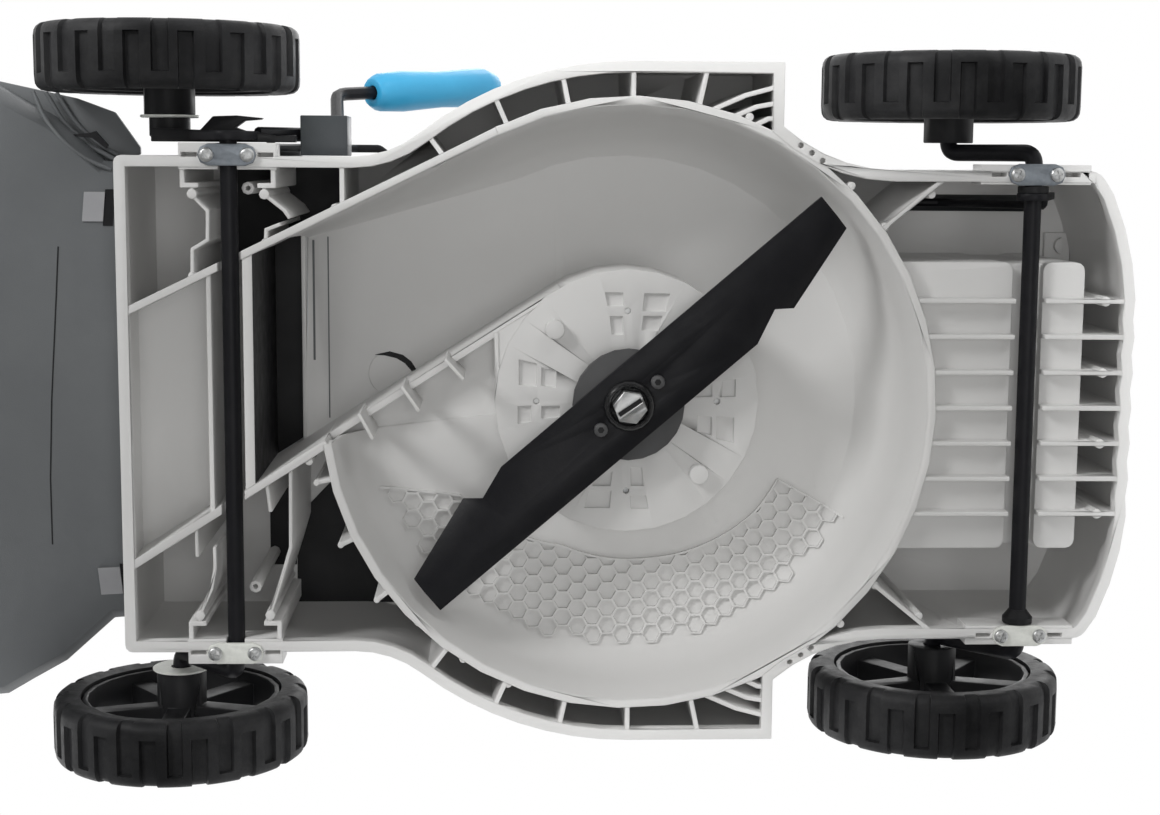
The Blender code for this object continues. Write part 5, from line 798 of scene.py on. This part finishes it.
def ceilingHoneycomb(look):
    places = honeycombPlaces(look)
    flat = seatOn("ceiling_honeycomb", places, (0, 0, 1), hexRing(look), "light_grey")
    bm = bmesh.new()
    bm.from_mesh(flat.data)
    spindle = at(0, 0, 0)
    for vert in bm.verts:  # cut cells keep to the field's inner arc
        reach = vert.co - spindle
        radius = math.hypot(reach.x, reach.y) / mm
        inner = between(look["inner"], math.degrees(math.atan2(reach.y, reach.x)))
        vert.co.x = spindle.x + reach.x * max(radius, inner) / radius
        vert.co.y = reach.y * max(radius, inner) / radius
    firstLine = Vector((*polar(1, look["firstAngle"]), 0))
    near, far = [at(x, y, 0) for x, y in look["endLine"]]
    for origin, along, sense in ((spindle, firstLine, 1), (near, (far - near).normalized(), -1)):
        half = [vert for vert in bm.verts if (vert.co.x - spindle.x) * sense > 0]
        lines = {edge for vert in half for edge in vert.link_edges}
        faces = {face for vert in half for face in vert.link_faces}
        bmesh.ops.bisect_plane(bm, geom=half + list(lines) + list(faces), plane_co=origin,
                               plane_no=Vector((along.y, -along.x, 0)) * sense, clear_outer=True)
    bmesh.ops.dissolve_degenerate(bm, dist=look["sliver"] * mm, edges=bm.edges)
    first = firstLine * mm
    inner, outer, rib = look["inner"][0][1], look["outer"], look["rib"]
    ribStrip(bm, [spindle + first * (inner + (outer - inner) * i / 12) for i in range(13)], rib, look)
    ribStrip(bm, [near.lerp(far, i / 12) for i in range(13)], rib, look)
    line = []
    for i in range(65):
        angle = look["firstAngle"] + (look["arcEnd"] - look["firstAngle"]) * i / 64
        line.append(spindle + Vector((*polar(1, angle), 0)) * between(look["inner"], angle) * mm)
    ribStrip(bm, line, rib, look)
    bm.to_mesh(flat.data)
    bm.free()
    laid = laidOn("deck_shell", flat, "light_grey")
    bm = bmesh.new()
    bm.from_mesh(laid.data)
    low, high = look["levels"]
    stray = [vert for vert in bm.verts if vert.co.z > high * mm or vert.co.z < low * mm]
    bmesh.ops.delete(bm, geom=stray, context="VERTS")
    bmesh.ops.dissolve_degenerate(bm, dist=weldDistance, edges=bm.edges)
    bmesh.ops.recalc_face_normals(bm, faces=bm.faces)
    bm.to_mesh(laid.data)
    bm.free()
    finishPiece(smoothShade(laid, 30), "root", "light_grey")
    return len(places)


print("honeycomb cells:", ceilingHoneycomb(honeycomb))


# Painted shade: black sheets above the rear bays and on the cross wall's face, and the seams of the chute's
# ceiling

paintedShadeAndStubs = {
    "level": 134.4, "thickness": 0.6, "buried": 0.2,
    "chuteEnd": ((-208.6, -86.0), (-190.2, -95.0), (-190.2, 31.5), (-208.6, 43.4)),
    "rightBay": ((-236, -135.8), (-160.5, -135.8), (-160.5, -112.9), (-236, -76.3)),
    "leftBay": ((-190.8, 75), (-197.4, 100), (-198, 136), (-93.9, 136)),
    "leftBayArc": (152.9, 128, 168),
    "axleBay": ((-214, 47), (-191, 32.2), (-191, 75), (-197.6, 100), (-198, 112), (-214, 112)),
    "crossWall": ((-209.2, -86.0), (-208.6, -86.0), (-208.6, 43.4), (-209.2, 43.4)), "crossWallFoot": 26,
    "stubs": (((-151.5, 3.5), (-144.2, 17.0)), ((-127.6, -11.7), (-118.6, 1.3)),
              ((-103.5, -27.0), (-93.8, -16.4))),
    "stubWidth": 1.9, "stubLevels": (27.0, 70.5),
    "seams": ((-184.0, -89, -17, 1.3), (-175.3, -91, 18, 0.8)), "seamLevels": (116.88, 117.3),
}


def prism(name, outline, low, high):
    bm = bmesh.new()
    lower, upper = [[bm.verts.new(at(x, y, level)) for x, y in outline] for level in (low, high)]
    bm.faces.new(lower)
    bm.faces.new(upper)
    for i in range(len(lower)):
        bm.faces.new((lower[i - 1], upper[i - 1], upper[i], lower[i]))
    bmesh.ops.recalc_face_normals(bm, faces=bm.faces)
    return builtFrom(name, bm)


def paintedShadeAndSeams(look):
    low, high = look["level"] - look["thickness"], look["level"] + look["buried"]
    radius, first, last = look["leftBayArc"]
    arc = [polar(radius, angle) for angle in range(first, last + 1, 4)]
    # the black sheets are painted shade: they darken the deep rear bays where the shade falls
    outlines = {"chute_end_lining": look["chuteEnd"], "right_bay_lining": look["rightBay"],
                "left_bay_lining": (*look["leftBay"], *arc), "axle_bay_lining": look["axleBay"]}
    for name, outline in outlines.items():
        finishPiece(prism(name, outline, low, high), "root", "black_plastic")
    # a black strip of painted shade on the cross wall's face
    strip = prism("cross_wall_lining", look["crossWall"], look["crossWallFoot"], look["level"])
    finishPiece(strip, "root", "black_plastic")
    for i, (x, start, end, width) in enumerate(look["seams"]):
        left, right = x - width / 2, x + width / 2
        outline = ((left, start), (right, start), (right, end), (left, end))
        seam = prism("chute_seam_" + str(i + 1), outline, *look["seamLevels"])
        finishPiece(seam, "root", "dark_grey")


def guideStubs(look):  # short ribs on the lower side of the guide wall
    half = look["stubWidth"] / 2
    for i, (root, tip) in enumerate(look["stubs"]):
        along = Vector((tip[0] - root[0], tip[1] - root[1])).normalized()
        across = Vector((-along.y, along.x))
        outline = [Vector(root) - across * half, Vector(root) + across * half]
        for turn in range(90, -91, -30):  # rounded end
            forward, aside = polar(half, turn)
            outline.append(Vector(tip) + along * forward + across * aside)
        stub = prism("guide_stub_" + str(i + 1), outline, *look["stubLevels"])
        finishPiece(softEdges(stub, 0.3, 40), "root", "light_grey")


# black sheets of painted shade, the chute's seams and the guide stubs
paintedShadeAndSeams(paintedShadeAndStubs)
guideStubs(paintedShadeAndStubs)
print("linings made")


# Collars beside the front clamps

axleCollar = {"radius": 8.5, "length": 4.0, "taper": 4.0, "face": 124.7}


def axleCollars(look):
    inner, outer, length = rods["axleRadius"] - 0.4, look["radius"], look["length"]
    profile = [(inner, 0), (outer - 0.4, 0), (outer, 0.4), (outer, length - 0.4), (outer - 0.4, length),
               (rods["axleRadius"] + 0.2, length + look["taper"]), (inner, length + look["taper"])]
    for side, hand in hands:
        collar = revolved("front_collar_" + hand, profile, 40)
        collar = acrossY(collar, rods["frontAxle"], side * look["face"], rods["axleHeight"], side)
        finishPiece(collar, "front_axle_unit", "black_plastic")


axleCollars(axleCollar)
print("collars made")


# Small parts of the rear hubs, the lever and the cutting head

smallParts = {
    "hubWasher": (16.5, 6.0, 1.6), "boss": (11.5, -160.5, -149.0), "bossHole": 4,
    "lug": ((-265, -153.5), (-238, -152.5), (-231, -160), (-218, -160.5), (-204, -159.2), (-205, -158.4),
            (-214, -157.6), (-219, -154), (-213, -152), (-202, -151), (-197, -149.5), (-186, -150),
            (-186, -146), (-265, -146)),
    "lugLevels": (40, 50),
    "nutSlot": (15.5, 3.9, -34.0), "nutSlotLevels": (28.6, 29.6), "socketRadius": 1.9,
    "halfMoon": ((-148.0, -20.3), (-139.0, -22.4), (-131.0, -20.2), (-126.0, -16.2), (-123.0, -11.4),
                 (-125.8, -10.4), (-130.0, -15.2), (-135.0, -18.2), (-142.0, -19.9)),
    "halfMoonLevels": (116.4, 117.3), "capCentre": (-138.5, -9.2), "capRadius": 13.3, "capLevel": 117.0,
    "nosePad": ((261.5, -95.0), (277.5, -95.0), (277.5, -77.0), (261.5, -77.0)),
    "padLevels": (131.0, 134.6), "padBoss": (272.0, -87.0, 5.0), "bossLevels": (127.0, 131.2),
}


def hubWashers(size):
    radius, hole, thick = size["hubWasher"]
    profile = [(hole, 0), (radius - 0.4, 0), (radius, 0.4), (radius, thick - 0.5), (radius - 0.8, thick),
               (hole, thick)]
    stubX = rods["rearAxle"] - rods["crankBack"]
    for side, hand in hands:
        low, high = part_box("wheel_rim_rear_" + hand)
        face = low.y / mm if side > 0 else high.y / mm
        washer = revolved("hub_washer_" + hand, profile, 48)
        washer = acrossY(washer, stubX, face, rods["wheelHeight"], side)
        # the washers get the painted-light copy of the zinc plate
        finishPiece(washer, "rear_axle_unit", "zinc", look="zincPale")
    radius, start, end = size["boss"]
    length, hole = end - start, size["bossHole"]
    profile = [(hole, 0), (radius - 0.5, 0), (radius, 0.5), (radius, length - 0.5), (radius - 0.5, length),
               (hole, length)]
    boss = acrossY(revolved("lever_boss", profile, 40), stubX, start, rods["wheelHeight"], -1)
    finishPiece(boss, "rear_axle_unit", "black_plastic")


def leverLug(size):
    lug = softEdges(prism("lever_lug", size["lug"], *size["lugLevels"]), 0.5, 35)
    finishPiece(lug, "rear_axle_unit", "black_plastic")


def cuttingHeadShade(size):
    # painted shade: a black bar in the blade nut's slot and black hexagons in the carrier screws' sockets
    length, width, turn = size["nutSlot"]
    outline = []
    for a, b in ((-1, -1), (1, -1), (1, 1), (-1, 1)):
        along, across = Vector(polar(a * length / 2, turn)), Vector(polar(b * width / 2, turn + 90))
        outline.append(along + across)
    finishPiece(prism("nut_slot_shade", outline, *size["nutSlotLevels"]), "cutting_head", "black_plastic")
    radius = size["socketRadius"]
    profile = [(0, -0.25), (radius, -0.25), (radius, 0.5), (0, 0.5)]
    for node in ("carrier_screw_front", "carrier_screw_rear"):
        low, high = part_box(node)
        socket = revolved(node + "_socket", profile, 6)
        socket.data.transform(Matrix.Translation(((low.x + high.x) / 2, (low.y + high.y) / 2, low.z)))
        finishPiece(socket, bodyOf[node], "black_plastic")


def chuteCap(size):
    x, y = size["capCentre"]
    radius = size["capRadius"]
    profile = [(0, -0.4), (radius - 0.3, -0.4), (radius, -0.1), (radius, 0.5), (0, 0.5)]
    cap = revolved("chute_cap", profile, 72)
    cap.data.transform(Matrix.Translation(at(x, y, size["capLevel"])))
    finishPiece(smoothShade(cap, 35), "root", "light_grey")
    shade = prism("chute_cap_shade", size["halfMoon"], *size["halfMoonLevels"])
    finishPiece(shade, "root", "black_plastic")


def nosePad(size):  # square pad with a half-round boss in the front bay
    pad = softEdges(prism("nose_pad", size["nosePad"], *size["padLevels"]), 0.6, 40)
    finishPiece(pad, "root", "light_grey")
    x, y, radius = size["padBoss"]
    outline = [Vector((x, y)) + Vector(polar(radius, angle)) for angle in range(90, 271, 15)]
    boss = softEdges(prism("nose_boss", outline, *size["bossLevels"]), 0.3, 40)
    finishPiece(boss, "root", "light_grey")


hubWashers(smallParts)
leverLug(smallParts)
cuttingHeadShade(smallParts)
chuteCap(smallParts)
nosePad(smallParts)
print("small parts made")


# Ridges, corner flange and tabs of the grass collector, with painted shadows beside the tabs

collectorTrim = {
    "cornerFlange": ((-366, -181), (-319, -171), (-297, -163), (-283, -143), (-283, -139), (-298, -133),
                     (-312, -133), (-332, -150), (-366, -164)),
    "flangeLevels": (106, 110), "ridgeRadius": 1.3,
    "ridges": (((-339, -174, 86), (-332, -158, 83), (-321, -145, 79), (-308, -135, 83), (-296, -130, 84.5)),
               ((-335, -174, 100), (-325, -156, 100), (-310, -143, 100), (-297, -136, 100)),
               ((-330, -174, 104), (-319, -156, 104), (-306, -144, 104), (-295, -138, 104))),
    "clip": ((-319, -150), (-309, -151), (-306, -152), (-299, -144), (-300, -142), (-308, -148),
             (-319, -149)),
    "clipLevels": (93, 96),
    "tabs": (((-309.5, -117.5), (-298, -117.5), (-298, -101), (-309.5, -101)),
             ((-305.5, 99), (-293.5, 99), (-293.5, 116.5), (-305.5, 116.5))),
    "tabShadows": (((-298, -119), (-292.5, -119), (-292.5, -98.5), (-298, -98.5)),
                ((-293.4, 97), (-290.5, 97), (-290.5, 117.5), (-293.4, 117.5))),
    "seam": ((-322, -87), (-324, -57), (-328, 0), (-330, 46), (-330, 84)), "seamWidth": 0.8,
    "seamSection": {"buried": 0.5, "proud": 0.15}, "tabLevels": (-0.6, 1.2), "tabShadowLevels": (-0.6, 0.5),
}


def onCollector(piece, slot):  # rests a flat shape on the underside of the tub
    laid = laidOn("collector_tub", piece, slot)
    turnedOutwards(laid)
    finishPiece(laid, bodyOf["collector_tub"], slot)


def collectorDetail(look):
    body = bodyOf["collector_tub"]
    flange = prism("collector_corner_flange", look["cornerFlange"], *look["flangeLevels"])
    finishPiece(softEdges(flange, 0.6, 35), body, "dark_grey")
    for i, line in enumerate(look["ridges"]):
        route = rounded([at(*place) for place in line], 40, 6)
        ridge = pipe("collector_ridge_" + str(i + 1), route, look["ridgeRadius"], 4)
        finishPiece(ridge, body, "dark_grey")
    finishPiece(prism("collector_clip", look["clip"], *look["clipLevels"]), body, "black_plastic")
    # the black strips beside the tabs are painted shadows cast by the tabs
    for i, (tab, tabShadow) in enumerate(zip(look["tabs"], look["tabShadows"])):
        onCollector(prism("collector_tab_" + str(i + 1), tab, *look["tabLevels"]), "grey_plastic")
        onCollector(prism("collector_notch_" + str(i + 1), tabShadow, *look["tabShadowLevels"]), "black_plastic")
    bm = bmesh.new()
    ribStrip(bm, [at(x, y, 0) for x, y in look["seam"]], look["seamWidth"], look["seamSection"])
    onCollector(builtFrom("collector_seam", bm), "black_plastic")


collectorDetail(collectorTrim)
print("collector trimmed")


# Studio

def studioFloor():
    half, level = 9, -0.0006
    mesh = bpy.data.meshes.new("studioFloor")
    corners = [(a * half, b * half, level) for a, b in ((-1, -1), (1, -1), (1, 1), (-1, 1))]
    mesh.from_pydata(corners, [], [(0, 1, 2, 3)])
    floor = newObject("studioFloor", mesh)
    material, tree, shader = newMaterial("studioFloorPaint")
    shader.inputs["Base Color"].default_value = (0.86, 0.86, 0.85, 1)
    shader.inputs["Roughness"].default_value = 0.7
    clear = newNode(tree, "ShaderNodeBsdfTransparent")
    rays = newNode(tree, "ShaderNodeLightPath")
    side = newNode(tree, "ShaderNodeNewGeometry")
    either = mathNode(tree, "MAXIMUM")
    wire(tree, rays, "Is Shadow Ray", either, 0)
    wire(tree, side, "Backfacing", either, 1)
    mix = newNode(tree, "ShaderNodeMixShader")
    wire(tree, either, 0, mix, "Fac")
    wire(tree, shader, "BSDF", mix, 1)
    wire(tree, clear, "BSDF", mix, 2)
    wire(tree, mix, "Shader", tree.nodes["Material Output"], "Surface")
    mesh.materials.append(material)


def studioWorld(ambient):
    world = bpy.data.worlds.new("studioWorld")
    bpy.context.scene.world = world
    world.use_nodes = True
    tree = world.node_tree
    soft = tree.nodes["Background"]
    soft.inputs["Color"].default_value = (0.97, 0.98, 1, 1)
    soft.inputs["Strength"].default_value = ambient
    white = newNode(tree, "ShaderNodeBackground", {"Color": (1, 1, 1, 1), "Strength": 1})
    rays = newNode(tree, "ShaderNodeLightPath")
    first = mathNode(tree, "MAXIMUM")
    wire(tree, rays, "Is Camera Ray", first, 0)
    wire(tree, rays, "Is Glossy Ray", first, 1)
    second = mathNode(tree, "MAXIMUM")
    wire(tree, first, 0, second, 0)
    wire(tree, rays, "Is Transmission Ray", second, 1)
    mix = newNode(tree, "ShaderNodeMixShader")
    wire(tree, second, 0, mix, "Fac")
    wire(tree, soft, "Background", mix, 1)
    wire(tree, white, "Background", mix, 2)
    wire(tree, mix, "Shader", tree.nodes["World Output"], "Surface")


def softLamp(name, place, aim, size, power):
    lamp = bpy.data.lights.new(name, "AREA")
    lamp.shape = "DISK"
    lamp.size = size
    lamp.energy = power
    holder = newObject(name, lamp)
    holder.location = place
    holder.rotation_euler = (Vector(aim) - Vector(place)).to_track_quat("-Z", "Y").to_euler()
    holder.visible_camera = False


def viewFromBelow(view):
    camera = bpy.data.cameras.new("camera")
    camera.sensor_width = 36
    camera.lens = view["focal"] / view["imageWidth"] * camera.sensor_width
    camera.clip_start = 0.05
    camera.clip_end = 50
    holder = newObject("camera", camera)
    turns = (Matrix.Rotation(view["roll"], 3, "Z") @ Matrix.Rotation(view["pitch"], 3, "X")
             @ Matrix.Rotation(view["yaw"], 3, "Y"))
    across, down, away = turns
    facing = Matrix((across, -down, -away)).transposed()
    holder.matrix_world = Matrix.Translation(at(*view["place"])) @ facing.to_4x4()
    bpy.context.scene.camera = holder


studioFloor()
studioWorld(0.9)
softLamp("lampKeyBelow", (-1.4, -1.4, -1.2), (0.2, 0, 0), 0.6, 24)
softLamp("lampFrontBelow", (1.1, -1.6, -0.9), (0.2, 0, 0), 0.6, 4)
softLamp("lampMiddleBelow", (0.3, -0.05, -1.8), (0.2, 0, 0), 1.0, 6.5)
softLamp("lampFillBelow", (0.3, 1.1, -1.5), (0.2, 0, 0), 1.0, 2)
softLamp("lampAbove", (0.7, -0.9, 2.3), (0, 0, 0.3), 2.2, 24)
softLamp("lampAboveFill", (-1.6, 1.4, 1.6), (0, 0, 0.4), 1.6, 9)
viewFromBelow({"focal": 1889.9, "imageWidth": 1160, "place": (-76.72, -139.01, -1019.48),
               "pitch": 0.131716, "yaw": -0.0462716, "roll": 0.0069190})
bpy.context.scene.view_settings.view_transform = "Standard"
print("studio set")
